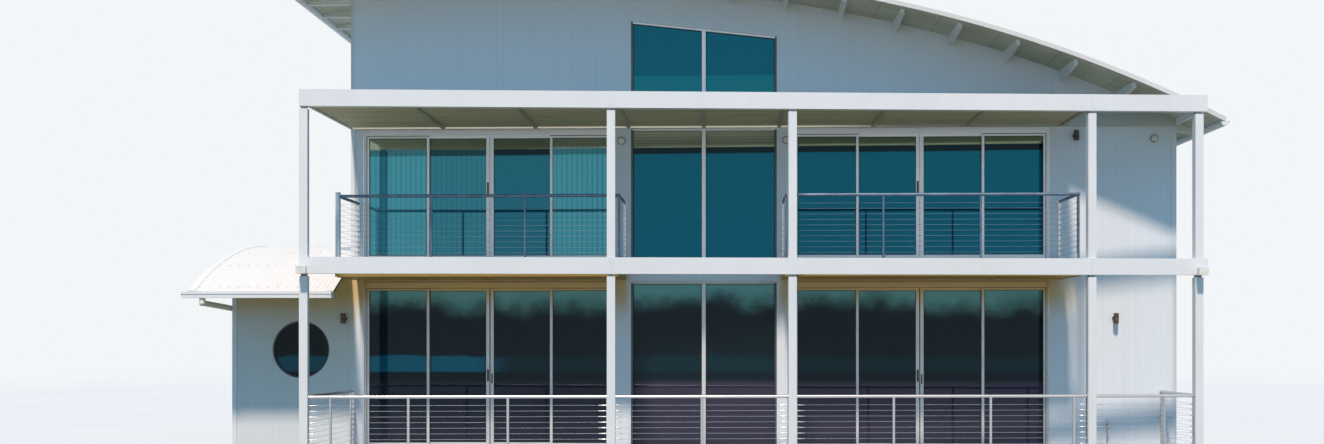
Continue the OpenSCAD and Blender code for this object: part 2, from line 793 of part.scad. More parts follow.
module right_balcony_railing() {
    end = balcony_ends[1];
    balcony_front_railing(end);
    color(steel_colour) translate(on_balcony(end[0], balcony_rail_y))
        cylinder(d = post_d, h = rail_h - rail_d / 2, $fn = 24);
}

module balcony_railing_ends() {
    color(steel_colour) for (end = balcony_ends) for (x = end) {
        post = x == balcony_ends[0][0] ? corner_post_w : rail_d;
        railing(on_balcony(x, balcony_rail_y - post / 2 - seat), on_balcony(x, seat), []);
    }
}

// An upright rectangular ring in the plane of a wall, with its own foot and head
module ring(x0, x1, z0, z1, y, depth, bar, foot, head) {
    difference() {
        block([x0, y, z0], [x1, y + depth, z1]);
        block([x0 + bar, y - inside, z0 + foot], [x1 - bar, y + depth + inside, z1 - head]);
    }
}

frame_y0 = front_y + 30;
outer_track_y = frame_y0 + 12;
inner_track_y = outer_track_y + panel_d + running_gap;
sill_h = 40;
roller_d = 30;
bottom_rail = 90;

// Left and right edge of a door panel in a unit, from 0 at the left to 3 at the right
function panel_edges(centre, i) = let (w = (door_w - 2 * frame_bar) / 4, x0 = centre - door_w / 2 + frame_bar)
    i == 0 ? [x0, x0 + w + stile_w / 2]
    : i == 1 ? [x0 + w - stile_w / 2, x0 + 2 * w - running_gap / 2]
    : i == 2 ? [x0 + 2 * w + running_gap / 2, x0 + 3 * w + stile_w / 2]
    : [x0 + 3 * w - stile_w / 2, x0 + 4 * w];

// Faces of a panel's glass, left and right: the stiles that meet in the middle of a unit are wider
function glass_edges(centre, i) = let (e = panel_edges(centre, i))
    [e[0] + (i == 2 ? meeting_stile_w : stile_w), e[1] - (i == 1 ? meeting_stile_w : stile_w)];

// A door panel between two levels, its front face at y
module panel(centre, i, z0, z1, y) {
    e = panel_edges(centre, i);
    g = glass_edges(centre, i);
    difference() {
        block([e[0], y, z0], [e[1], y + panel_d, z1]);
        block([g[0], y - inside, z0 + bottom_rail], [g[1], y + panel_d + inside, z1 - stile_w]);
    }
}

// Frame of one door unit with its two fixed outer panels
module door_unit(centre, z0, z1) {
    ring(centre - door_w / 2, centre + door_w / 2, z0, z1, frame_y0, frame_d, frame_bar, sill_h, door_head);
    for (i = [0, 3]) panel(centre, i, z0 + sill_h, z1 - door_head, outer_track_y);
}

module door_leaf(centre, i, z0, z1) {
    e = panel_edges(centre, i);
    panel(centre, i, z0 + sill_h + running_gap, z1 - door_head - running_gap, inner_track_y);
    for (x = [e[0] + 150, e[1] - 150])
        translate([x, inner_track_y + panel_d / 2 - 6, z0 + sill_h + clearance + roller_d / 2])
            rotate([-90, 0, 0]) cylinder(d = roller_d, h = 12);
}

module ground_door_frames() {
    color(aluminium_colour) for (centre = door_centres) door_unit(centre, ground_floor_z, ground_head_z);
}

module upper_door_frames() {
    color(aluminium_colour) for (centre = door_centres) {
        door_unit(centre, upper_floor_z, upper_head_z);
        for (i = [1, 2])
            panel(centre, i, upper_floor_z + sill_h, upper_head_z - door_head, inner_track_y - running_gap);
    }
}

mullion_half = 30;
module middle_window(z0, z1) {
    x0 = bay_axis_x - window_w / 2;
    x1 = bay_axis_x + window_w / 2;
    ring(x0, x1, z0, z1, frame_y0, frame_d, frame_bar, frame_bar, frame_bar);
    block([bay_axis_x - mullion_half, frame_y0, z0 + frame_bar],
        [bay_axis_x + mullion_half, frame_y0 + frame_d, z1 - frame_bar]);
}

module window_frames() {
    color(aluminium_colour) {
        middle_window(ground_floor_z, ground_head_z);
        middle_window(upper_floor_z, upper_head_z);
        difference() {
            gable_window_shape(0, frame_y0, frame_y0 + frame_d);
            gable_window_shape(frame_bar, frame_y0 - inside, frame_y0 + frame_d + inside);
        }
        intersection() {
            gable_window_shape(frame_bar / 2, frame_y0, frame_y0 + frame_d);
            block([bay_axis_x - mullion_half, frame_y0 - inside, gable_window_z],
                [bay_axis_x + mullion_half, frame_y0 + frame_d + inside, roof_top_z]);
        }
    }
}

back_frame_y = back_y - 40 - frame_d;
module back_window_frames() {
    color(aluminium_colour) for (w = back_windows) {
        ring(w[0] - w[1] / 2, w[0] + w[1] / 2, w[2], w[3], back_frame_y, frame_d,
            frame_bar, frame_bar, frame_bar);
        block([w[0] - 25, back_frame_y, w[2] + frame_bar], [w[0] + 25, back_y - 40, w[3] - frame_bar]);
    }
}

// Places its children in a side wall, as if that wall were the front wall
module in_side_wall(side) {
    translate([side * (right_x - 40), side_window_y, 0]) rotate([0, 0, side * 90]) children();
}

module side_window_frames() {
    half = side_window_w / 2;
    color(aluminium_colour) for (side = [-1, 1]) in_side_wall(side)
        ring(-half, half, side_window_z[0], side_window_z[1], 0, frame_d, frame_bar, frame_bar, frame_bar);
}

module side_glass() {
    color(glass_colour) for (side = [-1, 1]) in_side_wall(side) block(
        [frame_bar - side_window_w / 2, frame_d / 2, side_window_z[0] + frame_bar],
        [side_window_w / 2 - frame_bar, frame_d / 2 + glass_t, side_window_z[1] - frame_bar]
    );
}

// A pane that fills the space between two edges
module pane(x0, x1, z0, z1, y) {
    block([x0, y, z0], [x1, y + glass_t, z1]);
}

module fixed_panes(z0, z1, panels) {
    for (centre = door_centres) for (i = panels) {
        g = glass_edges(centre, i);
        y = (i == 0 || i == 3) ? outer_track_y : inner_track_y - running_gap;
        pane(g[0], g[1], z0 + sill_h + bottom_rail, z1 - door_head - stile_w, y + (panel_d - glass_t) / 2);
    }
}

module window_panes(z0, z1) {
    x0 = bay_axis_x - window_w / 2 + frame_bar;
    x1 = bay_axis_x + window_w / 2 - frame_bar;
    y = frame_y0 + frame_d / 2;
    pane(x0, bay_axis_x - mullion_half, z0 + frame_bar, z1 - frame_bar, y);
    pane(bay_axis_x + mullion_half, x1, z0 + frame_bar, z1 - frame_bar, y);
}

module ground_glass() {
    color(glass_colour) {
        fixed_panes(ground_floor_z, ground_head_z, [0, 3]);
        window_panes(ground_floor_z, ground_head_z);
        translate([left_x - round_window_x, front_y + 65, round_window_z])
            rotate([-90, 0, 0]) cylinder(d = round_window_d - 50, h = glass_t, $fn = 96);
    }
}

module upper_glass() {
    y = frame_y0 + frame_d / 2;
    color(glass_colour) {
        fixed_panes(upper_floor_z, upper_head_z, [0, 1, 2, 3]);
        window_panes(upper_floor_z, upper_head_z);
        difference() {
            gable_window_shape(frame_bar, y, y + glass_t);
            block([bay_axis_x - mullion_half, y - inside, gable_window_z],
                [bay_axis_x + mullion_half, y + glass_t + inside, roof_top_z]);
        }
    }
}

module back_glass() {
    y = back_y - 40 - frame_d / 2;
    color(glass_colour) for (w = back_windows) {
        pane(w[0] - w[1] / 2 + frame_bar, w[0] - 25, w[2] + frame_bar, w[3] - frame_bar, y);
        pane(w[0] + 25, w[0] + w[1] / 2 - frame_bar, w[2] + frame_bar, w[3] - frame_bar, y);
    }
}

module leaf(centre, i) {
    color(aluminium_colour) door_leaf(centre, i, ground_floor_z, ground_head_z);
}

module leaf_glass(centre, i) {
    g = glass_edges(centre, i);
    low = ground_floor_z + sill_h + running_gap + bottom_rail;
    high = ground_head_z - door_head - running_gap - stile_w;
    color(glass_colour) pane(g[0], g[1], low, high, inner_track_y + (panel_d - glass_t) / 2);
}

// Small cylinder lights on the wall, as places across and up
right_doors_edge = bay_axis_x + door_reach;
light_from_edge = 105;
light_drop = 145;
ground_light_drop = 4 * light_drop;
wall_light_places = [
    [right_doors_edge + 4 * light_from_edge, upper_head_z - light_drop],
    [right_doors_edge + 0.52 * (right_x - right_doors_edge), ground_head_z - ground_light_drop],
    [left_x - light_from_edge, ground_head_z - ground_light_drop]
];
module wall_lights() {
    color(light_colour) for (place = wall_light_places) {
        translate([place[0], front_y - 80, place[1] - 90]) cylinder(d = 80, h = 180);
        block([place[0] - 30, front_y - 50, place[1] - 20], [place[0] + 30, front_y, place[1] + 20]);
    }
}

// Round bulkhead lights beside the middle window and at the right end of the upper storey
round_light_d = 130;
round_light_drop = 190;
round_light_inset = 345;
module round_lights() {
    z = upper_head_z - round_light_drop;
    edge = window_w / 2 + 20 + middle_pier_w / 2;
    color("white") for (x = [bay_axis_x - edge, bay_axis_x + edge, right_x - round_light_inset]) {
        translate([x, front_y, z]) rotate([90, 0, 0]) {
            cylinder(d = round_light_d, h = 22);
            cylinder(d1 = round_light_d - 16, d2 = round_light_d - 40, h = 58);
        }
    }
}

module floodlights() {
    color("white") for (x = [column_x[0], column_x[4]]) along_frame(x, lower_beam_top - beam_h + 40) {
        block([-40, -beam_w / 2 - 60, -60], [40, -beam_w / 2, 60]);
        block([-70, -beam_w / 2 - 160, -50], [70, -beam_w / 2 - 60, 70]);
    }
}

ground_floor();
upper_floor();
front_plinth();
front_piers_ground();
front_floor_band();
front_piers_upper();
front_gable();
left_wall();
right_wall();
back_wall();
main_roof();
roof_brackets();
eave_gutters();
downpipes();
corner_trims();
wing_front_wall();
wing_outer_walls();
wing_floor();
wing_roof();
wing_gutters();
round_window_frame();
verandah_floor();
columns_ground();
columns_upper();
column_necks();
lower_beam();
upper_beam();
side_beams();
wall_ledger();
verandah_rafters();
louvre_blades();
balcony_floors();
ground_railing();
ground_railing_ends();
left_balcony_railing();
right_balcony_railing();
balcony_railing_ends();
ground_door_frames();
upper_door_frames();
window_frames();
back_window_frames();
side_window_frames();
ground_glass();
upper_glass();
back_glass();
side_glass();
leaf(door_centres[0], 1);  // left_door_a
leaf(door_centres[0], 2);  // left_door_b
leaf(door_centres[1], 1);  // right_door_a
leaf(door_centres[1], 2);  // right_door_b
leaf_glass(door_centres[0], 1);  // left_door_a_glass
leaf_glass(door_centres[0], 2);  // left_door_b_glass
leaf_glass(door_centres[1], 1);  // right_door_a_glass
leaf_glass(door_centres[1], 2);  // right_door_b_glass
wall_lights();
round_lights();
floodlights();
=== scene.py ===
"""Beach house: materials, sheets, fittings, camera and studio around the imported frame, in metres."""

import math

import bpy
from mathutils import Matrix, Vector


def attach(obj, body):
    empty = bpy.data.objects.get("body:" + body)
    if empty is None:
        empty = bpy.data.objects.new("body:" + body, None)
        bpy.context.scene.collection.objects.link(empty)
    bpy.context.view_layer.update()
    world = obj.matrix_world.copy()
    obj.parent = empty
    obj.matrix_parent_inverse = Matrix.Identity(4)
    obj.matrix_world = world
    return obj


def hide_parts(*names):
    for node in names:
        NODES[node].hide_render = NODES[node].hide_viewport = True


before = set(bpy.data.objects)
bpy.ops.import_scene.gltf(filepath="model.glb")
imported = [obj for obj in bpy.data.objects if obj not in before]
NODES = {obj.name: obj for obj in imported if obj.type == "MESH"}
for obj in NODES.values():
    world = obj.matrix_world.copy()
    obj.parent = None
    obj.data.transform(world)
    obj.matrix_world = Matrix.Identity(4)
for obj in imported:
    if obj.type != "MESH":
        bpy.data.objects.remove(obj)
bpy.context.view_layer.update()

UP, OUT = (0, 0, 1), (0, -1, 0)

# Main sizes, as in the part's source

HOUSE_W, HOUSE_D = 13.09, 8.4
LEFT, RIGHT, FRONT, BACK = -HOUSE_W / 2, HOUSE_W / 2, -HOUSE_D / 2, HOUSE_D / 2
WALL = 0.2
GROUND_Z, UPPER_Z = 0.45, 3.45
GROUND_HEAD, UPPER_HEAD = 3.15, 5.59
STOREYS = ((GROUND_Z, GROUND_HEAD), (UPPER_Z, UPPER_HEAD))
DOOR_W, WINDOW_W, PIER_W, EDGE_PIER = 4.02, 2.32, 0.26, 0.215
AXIS_X = LEFT + EDGE_PIER + DOOR_W + PIER_W + WINDOW_W / 2
DOOR_OFFSET = WINDOW_W / 2 + PIER_W + DOOR_W / 2
DOOR_CENTRES = (AXIS_X - DOOR_OFFSET, AXIS_X + DOOR_OFFSET)
DOOR_REACH = DOOR_OFFSET + DOOR_W / 2
BAR, HEAD_BAR, STILE, MEETING, MULLION = 0.028, 0.090, 0.040, 0.057, 0.030
SILL, BOTTOM_RAIL, RUN_GAP = 0.04, 0.09, 0.006
PANEL_D, GLASS_T = 0.036, 0.010
FRAME_Y = FRONT + 0.03
OUTER_TRACK = FRAME_Y + 0.012
INNER_TRACK = OUTER_TRACK + PANEL_D + RUN_GAP
UPPER_TRACK = OUTER_TRACK + PANEL_D
WINDOW_X = (AXIS_X - WINDOW_W / 2, AXIS_X + WINDOW_W / 2)
WINDOW_PANES = ((WINDOW_X[0] + BAR, AXIS_X - MULLION), (AXIS_X + MULLION, WINDOW_X[1] - BAR))
BACK_WINDOWS = [(x, z) for x in (-HOUSE_W / 3, 0.0, HOUSE_W / 3) for z in (GROUND_Z, UPPER_Z)]
BACK_HALF, BACK_SILL, BACK_HEAD = 0.9, 0.9, 2.1
VERANDAH_Z, DECK_Z = 0.43, 3.43
BEAM_H, BEAM_W, NECK_H, COLUMN_W = 0.24, 0.13, 0.04, 0.12
UPPER_BEAM = UPPER_HEAD + 0.245
GABLE_Z, GABLE_DROP = UPPER_BEAM + 0.165, 0.56

OVERHANG, CREST_RISE = 1.15, 2.237
ROOF_LEFT, ROOF_RIGHT = LEFT - 0.8, RIGHT + 0.37
ROOF_FRONT, ROOF_BACK = FRONT - OVERHANG, BACK + OVERHANG
TOP_X, TURN_X = LEFT + 0.2143 * HOUSE_W, LEFT + 0.6917 * HOUSE_W
TOP_Z = UPPER_HEAD + 0.093 + CREST_RISE
RUN, RISE = TURN_X - TOP_X, 0.762
WIDE_R = (RUN**2 + RISE**2) / (2 * RISE)
TURN = math.asin(RUN / WIDE_R)
EAVE_RUN, EAVE_DROP = RIGHT - TURN_X, CREST_RISE - RISE
TIGHT_R = (EAVE_RUN**2 + EAVE_DROP**2) / (2 * (EAVE_DROP * math.cos(TURN) - EAVE_RUN * math.sin(TURN)))
WIDE_C = (TOP_X, TOP_Z - WIDE_R)
TIGHT_C = (
    WIDE_C[0] + (WIDE_R - TIGHT_R) * math.sin(TURN),
    WIDE_C[1] + (WIDE_R - TIGHT_R) * math.cos(TURN),
)

WING_LEFT, WING_MID = LEFT - 1.92, FRONT + 2.7
WING_X0, WING_HALF, WING_R, WING_TOP = WING_LEFT - 0.34, 3.7, 8.0, GROUND_Z + 3.39
WING_Y0, WING_Y1 = WING_MID - WING_HALF, WING_MID + WING_HALF

COLUMN_PAST, COLUMN_SHIFT = 0.277, 0.027
COLUMN_X = (
    AXIS_X - DOOR_REACH - COLUMN_PAST,
    WINDOW_X[0] - PIER_W / 2 - COLUMN_SHIFT,
    WINDOW_X[1] + PIER_W / 2 + COLUMN_SHIFT,
    AXIS_X + DOOR_REACH + COLUMN_PAST,
    RIGHT - 0.128,
)
VERANDAH_LEFT, VERANDAH_RIGHT = 2.3, 1.39
SLOPE = (VERANDAH_LEFT - VERANDAH_RIGHT) / (COLUMN_X[4] - COLUMN_X[0])
ANGLE = math.atan(SLOPE)
BALCONIES = (
    (AXIS_X - DOOR_REACH - 0.12, WINDOW_X[0] - 0.07),
    (WINDOW_X[1] + 0.07, AXIS_X + DOOR_REACH + 0.2),
)
BALCONY_RAIL_Y = FRONT - 1.2


def roof_under(x, lift=0.0):
    """Level of the main roof's underside, or of a surface lifted off it."""
    wide = x < TURN_X + lift * math.sin(TURN)
    (cx, cz), r = (WIDE_C, WIDE_R) if wide else (TIGHT_C, TIGHT_R)
    return cz + math.sqrt((r + lift) ** 2 - (x - cx) ** 2)


def wing_under(y, lift=0.0):
    """Level of the wing roof's underside, or of a surface lifted off it."""
    return WING_TOP - WING_R + math.sqrt((WING_R + lift) ** 2 - (y - WING_MID) ** 2)


def gable_top(x):
    """Underside of the gable window's top bar."""
    x0, x1 = WINDOW_X[0] + BAR, WINDOW_X[1] - BAR
    z0, z1 = roof_under(x0) - GABLE_DROP - BAR, roof_under(x1) - GABLE_DROP - BAR
    return z0 + (z1 - z0) * (x - x0) / (x1 - x0)


def frame_y(x):
    """Middle of the skewed verandah frame at a place across the house."""
    return FRONT - VERANDAH_LEFT + (x - COLUMN_X[0]) * SLOPE


def placed(x, y, z, turn):
    """Placing at a point, turned about the upright axis."""
    return Matrix.Translation((x, y, z)) @ Matrix.Rotation(turn, 4, "Z")


def along_frame(x, z):
    """Placing along the skewed verandah frame."""
    return placed(x, frame_y(x), z, ANGLE)


def spread(start, end, longest):
    """Even steps from one value to another, none longer than asked."""
    count = max(1, math.ceil(abs(end - start) / longest))
    return [start + (end - start) * i / count for i in range(count + 1)]


def panel_edges(centre, i):
    """Left and right edge of door panel i, 0 to 3, in a sliding unit."""
    w = (DOOR_W - 2 * BAR) / 4
    x0 = centre - DOOR_W / 2 + BAR
    return (
        (x0, x0 + w + STILE / 2),
        (x0 + w - STILE / 2, x0 + 2 * w - 0.003),
        (x0 + 2 * w + 0.003, x0 + 3 * w + STILE / 2),
        (x0 + 3 * w - STILE / 2, x0 + 4 * w),
    )[i]


# Mesh building


def circle(centre, side, up, radius, sides):
    turns = [2 * math.pi * k / sides for k in range(sides)]
    return [centre + radius * (math.cos(t) * side + math.sin(t) * up) for t in turns]


class Piece:
    """Mesh parts gathered into one object."""

    def __init__(self):
        self.points, self.faces, self.kinds, self.smooth = [], [], [], []
        self.place = Matrix.Identity(4)

    def add(self, points, faces, kind, smooth=False):
        base = len(self.points)
        self.points.extend((self.place @ Vector(p))[:] for p in points)
        self.faces.extend(tuple(base + i for i in f) for f in faces)
        self.kinds.extend([kind] * len(faces))
        self.smooth.extend([smooth] * len(faces))

    def outward(self, first):
        """Turn the faces added since the given one to the outside of their closed shape."""
        volume = 0.0
        for f in self.faces[first:]:
            a = Vector(self.points[f[0]])
            for i in range(1, len(f) - 1):
                volume += a.dot(Vector(self.points[f[i]]).cross(Vector(self.points[f[i + 1]])))
        if volume < 0:
            self.faces[first:] = [f[::-1] for f in self.faces[first:]]

    def box(self, one, other, kind=0, edge=0.0):
        """A box between two opposite corners, its edges taken off by edge."""
        lo, hi = zip(*(sorted(pair) for pair in zip(one, other)))
        if not edge:
            pts = [(x, y, z) for z in (lo[2], hi[2]) for y in (lo[1], hi[1]) for x in (lo[0], hi[0])]
            quads = [(0, 2, 3, 1), (4, 5, 7, 6), (0, 1, 5, 4), (2, 6, 7, 3), (0, 4, 6, 2), (1, 3, 7, 5)]
            return self.add(pts, quads, kind)
        pts, index = [], {}
        for corner in range(8):
            sides = [corner >> a & 1 for a in range(3)]
            for axis in range(3):
                index[corner, axis] = len(pts)
                cut = [0 if a == axis else (-edge if sides[a] else edge) for a in range(3)]
                pts.append([(hi if sides[a] else lo)[a] + cut[a] for a in range(3)])
        faces = []
        for axis in range(3):
            u, v = (axis + 1) % 3, (axis + 2) % 3
            for side in (0, 1):
                ring = [side << axis | a << u | b << v for a, b in ((0, 0), (1, 0), (1, 1), (0, 1))]
                faces.append([index[c, axis] for c in (ring if side else ring[::-1])])
        for axis in range(3):
            u, v = (axis + 1) % 3, (axis + 2) % 3
            for a, b in ((0, 0), (0, 1), (1, 0), (1, 1)):
                c0 = a << u | b << v
                c1 = c0 | 1 << axis
                quad = [index[c0, u], index[c1, u], index[c1, v], index[c0, v]]
                faces.append(quad if a == b else quad[::-1])
        for corner in range(8):
            tri = [index[corner, a] for a in range(3)]
            faces.append(tri if bin(corner).count("1") % 2 else tri[::-1])
        first = len(self.faces)
        self.add(pts, faces, kind)
        self.outward(first)

    def cap(self, ring, kind, order):
        self.add(ring, [tuple(range(len(ring)))[::order]], kind)

    def loft(self, rings, kind, smooth=True, caps=True, closed=True):
        """Quads between rows of points; the rows are closed loops unless told otherwise."""
        n, first = len(rings[0]), len(self.faces)
        faces = [
            (i * n + j, i * n + (j + 1) % n, (i + 1) * n + (j + 1) % n, (i + 1) * n + j)
            for i in range(len(rings) - 1)
            for j in range(n if closed else n - 1)
        ]
        self.add([p for r in rings for p in r], faces, kind, smooth)
        if caps:
            self.cap(rings[0], kind, -1)
            self.cap(rings[-1], kind, 1)
            self.outward(first)

    def surface(self, rows, smooth=True):
        """An open sheet through rows of points."""
        self.loft(rows, 0, smooth, False, False)

    def bar(self, rings):
        """A solid strip with flat sides through closed loops."""
        self.loft(rings, 0, False)

    def tube(self, path, radius, kind=0, sides=12):
        """A round bar along a path."""
        path = [Vector(p) for p in path]
        rings, side = [], None
        for i, p in enumerate(path):
            ahead = (path[min(i + 1, len(path) - 1)] - path[max(i - 1, 0)]).normalized()
            if side is None:
                side = ahead.orthogonal().normalized()
            side = (side - ahead * side.dot(ahead)).normalized()
            rings.append(circle(p, side, ahead.cross(side), radius, sides))
        self.loft(rings, kind)

    def lathe(self, profile, origin, axis=UP, kind=0, sides=24, smooth=True):
        """A turned shape: profile is radius and height along the axis, from one end to the other."""
        axis = Vector(axis).normalized()
        side = axis.orthogonal().normalized()
        up = axis.cross(side)
        rings = [circle(Vector(origin) + axis * h, side, up, r, sides) for r, h in profile]
        if smooth:
            return self.loft(rings, kind)
        first = len(self.faces)
        for pair in zip(rings, rings[1:]):
            self.loft(pair, kind, True, False)
        self.cap(rings[0], kind, -1)
        self.cap(rings[-1], kind, 1)
        self.outward(first)

    def bolt(self, at, axis, size, kind=0):
        """A hexagon head on its washer."""
        washer, head = [(1.05, 0), (1.05, 0.16)], [(0.62, 0.16), (0.62, 0.6), (0.5, 0.7)]
        for profile, sides in ((washer, 12), (head, 6)):
            self.lathe([(size * r, size * h) for r, h in profile], at, axis, kind, sides, False)

    def make(self, name, materials, slot, replaces=None, body="house", facing=0):
        """The finished object; with facing 1 every face of a sheet looks up, with -1 down."""
        mesh = bpy.data.meshes.new(name)
        mesh.from_pydata(self.points, [], self.faces)
        for m in materials:
            mesh.materials.append(m)
        mesh.polygons.foreach_set("material_index", self.kinds)
        mesh.polygons.foreach_set("use_smooth", self.smooth)
        mesh.update()
        for polygon in mesh.polygons if facing else ():
            if polygon.normal.z * facing < -0.02:
                polygon.flip()
        obj = bpy.data.objects.new(name, mesh)
        bpy.context.scene.collection.objects.link(obj)
        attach(obj, body)
        if replaces:
            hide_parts(replaces)


# Materials: a colour of three numbers is sRGB from 0 to 255, one of four numbers is linear


def srgb(r, g, b):
    """A colour given as 0 to 255 in sRGB, as linear red, green, blue and alpha."""

    def one(c):
        c /= 255
        return c / 12.92 if c <= 0.04045 else ((c + 0.055) / 1.055) ** 2.4

    return (one(r), one(g), one(b), 1.0)


class Nodes:
    """Short calls for the nodes of one tree."""

    def __init__(self, tree):
        self.t = tree

    def node(self, kind, _props=None, **inputs):
        """A shader node with its properties and its inputs, by name or as i0, i1, i2 by number."""
        n = self.t.nodes.new("ShaderNode" + kind)
        for key, value in (_props or {}).items():
            setattr(n, key, value)
        for key, value in inputs.items():
            self.put(n.inputs[int(key[1:]) if key[1:].isdigit() else key], value)
        return n

    def put(self, socket, value):
        if isinstance(value, bpy.types.NodeSocket):
            self.t.links.new(value, socket)
        else:
            socket.default_value = value

    def math(self, what, a, b=0.0, c=0.0):
        return self.node("Math", {"operation": what}, i0=a, i1=b, i2=c).outputs[0]

    def times(self, a, b):
        return self.math("MULTIPLY", a, b)

    def most(self, a, b):
        return self.math("MAXIMUM", a, b)

    def times_add(self, a, b, c):
        return self.math("MULTIPLY_ADD", a, b, c)

    def seen(self):
        """1 for camera, mirror and glass rays."""
        path = self.node("LightPath").outputs
        mirrored = self.most(path["Is Camera Ray"], path["Is Glossy Ray"])
        return self.most(mirrored, path["Is Transmission Ray"])


class Mat(Nodes):
    """A material under construction; its colour is laid on in tones."""

    def __init__(self, name, **values):
        self.m = bpy.data.materials.new(name)
        self.m.use_nodes = True
        super().__init__(self.m.node_tree)
        self.bsdf = self.t.nodes["Principled BSDF"]
        for key, value in values.items():
            self.bsdf.inputs[key.replace("_", " ")].default_value = value
        self.at = self.node("TexCoord").outputs["Object"]
        self.bumps = None

    def axis(self, letter, source=None):
        return self.node("SeparateXYZ", i0=source or self.at).outputs[letter]

    x, y, z = (property(lambda self, letter=letter: self.axis(letter)) for letter in "XYZ")

    def from_x(self, place):
        """Distance from a place across the house."""
        return self.math("ABSOLUTE", self.math("SUBTRACT", self.x, place))

    def scaled(self, x, y, z, source=None):
        return self.node("Mapping", i0=source or self.at, Scale=(x, y, z)).outputs[0]

    def noise(self, scale, detail, rough=0.55, at=None):
        inputs = {"Vector": at or self.at, "Scale": scale, "Detail": detail, "Roughness": rough}
        return self.node("TexNoise", **inputs).outputs["Fac"]

    def lot(self, value):
        """A random share for each whole step of a value."""
        n = self.node("TexWhiteNoise", {"noise_dimensions": "1D"})
        self.put(n.inputs["W"], self.math("FLOOR", value))
        return n.outputs["Value"]

    def step(self, value, a, b, to0=0.0, to1=1.0):
        props = {"interpolation_type": "SMOOTHSTEP"}
        return self.node("MapRange", props, i0=value, i1=a, i2=b, i3=to0, i4=to1).outputs[0]

    def patches(self, scale, detail, low, high, most=1.0, rough=0.55, stretch=None, least=0.0):
        """Soft patches of noise, or streaks where it is stretched."""
        at = self.scaled(*stretch) if stretch else None
        return self.step(self.noise(scale, detail, rough, at), low, high, least, most)

    def groove(self, value, pitch, half):
        """1 in narrow lines a pitch apart along a coordinate, 0 between them."""
        return self.step(self.math("PINGPONG", value, pitch / 2), half * pitch, 0.0)

    def mix(self, share, a, b):
        n = self.node("Mix", {"data_type": "RGBA"}, i0=share)
        for socket, tone in ((n.inputs[6], a), (n.inputs[7], b)):
            self.put(socket, srgb(*tone) if isinstance(tone, tuple) and len(tone) == 3 else tone)
        return n.outputs[2]

    def base(self, share, light, dark):
        self.tone = self.mix(share, light, dark)

    def lay(self, share, tone):
        """One more tone over the colour so far."""
        self.tone = self.mix(share, self.tone, tone)

    def gloss(self, source, low, high, detail=3):
        """Roughness between two values, by a noise of that scale or by another node."""
        if isinstance(source, float):
            source = self.noise(source, detail)
        self.put(self.bsdf.inputs["Roughness"], self.step(source, 0.3, 0.7, low, high))

    def bump(self, height, distance, strength, inward=False):
        n = self.node("Bump", {"invert": inward}, Strength=strength, Distance=distance, Height=height)
        if self.bumps:
            self.put(n.inputs["Normal"], self.bumps)
        self.bumps = n.outputs[0]
        self.put(self.bsdf.inputs["Normal"], self.bumps)

    def grain(self, scale, distance, strength, detail=2):
        self.bump(self.noise(scale, detail), distance, strength)

    def done(self):
        self.put(self.bsdf.inputs["Base Color"], self.tone)
        return self.m


def painted(name, tint, dirt, rough=0.45):
    """Paint on metal or timber: slight mottling, faint rain streaks and a little orange peel."""
    k = Mat(name, Specular_IOR_Level=0.3)
    streaks = k.patches(1.0, 5, 0.5, 0.78, 1.0, 0.6, (14, 14, 0.7))
    shade = k.times_add(streaks, 0.10, k.times(k.patches(46.0, 2, 0.66, 0.78), 0.06))
    k.base(k.times_add(k.patches(1.1, 4, 0.35, 0.7), 0.16, shade), tint, dirt)
    k.gloss(9.0, rough - 0.06, rough + 0.08)
    k.grain(160.0, 0.0006, 0.25)
    return k.done()


def on_front(k):
    """1 on the front faces of the walls and all before them."""
    return k.step(k.y, FRONT + 0.12, FRONT + 0.10)


def painted_bounce_under_balconies(k, low, high):
    """Mask for painted warm bounce light: 1 close under the balconies and the wing's eave on the front,
    fading out further down.
    """
    (_, a), (b, c) = BALCONIES
    right = k.times(k.step(k.x, b - 0.1, b + 0.05), k.step(k.x, c + 0.45, c - 0.2))
    side = k.most(k.step(k.x, a + 0.1, a - 0.05), right)
    height = k.times(k.step(k.z, low, high), k.step(k.z, DECK_Z, DECK_Z - 0.03))
    return k.times(k.times(side, on_front(k)), height)


def wall_boards():
    """Painted wall sheets with fine upright grooves, weathered a little near the ground; the grooves
    carry painted shade, and painted warm bounce light lies on the wing and under the balconies.
    """
    k = Mat("wall_boards", Specular_IOR_Level=0.15)
    along = k.math("ADD", k.x, k.y)
    lines = k.groove(along, 0.1, 0.05)
    k.base(k.times(k.lot(k.times(along, 10.0)), 0.08), (222, 231, 238), (200, 211, 220))
    k.lay(k.patches(0.55, 5, 0.38, 0.72, 0.12, 0.6), (204, 215, 220))
    k.lay(k.patches(1.0, 5, 0.52, 0.8, 0.09, 0.62, (9, 9, 0.35)), (178, 188, 190))
    splash = k.patches(3.0, 4, 0.3, 0.75, 0.6, least=0.1)
    k.lay(k.times(k.step(k.z, 0.6, 0.0), splash), (158, 156, 142))
    # Painted bounce light: the wing's front wall is tinted warm, more so higher up.
    wing = k.times(k.step(k.x, LEFT + 0.1, LEFT), on_front(k))
    k.lay(k.times(wing, k.step(k.z, 0.6, 2.6, 0.2, 0.5)), (196, 196, 176))
    # Painted bounce light: a straw tint on the front walls close under the balconies and the wing's eave.
    k.lay(k.times(painted_bounce_under_balconies(k, 2.45, 3.0), 0.85), (206, 181, 116))
    # Painted shade: the fine grooves are darkened.
    k.lay(k.times(lines, 0.10), (120, 136, 146))
    k.lay(k.times(k.groove(along, 1.2, 0.004), 0.14), (110, 122, 130))
    k.gloss(6.0, 0.52, 0.68)
    k.bump(lines, 0.003, 0.3, True)
    k.grain(85.0, 0.0006, 0.2, 3)
    return k.done()


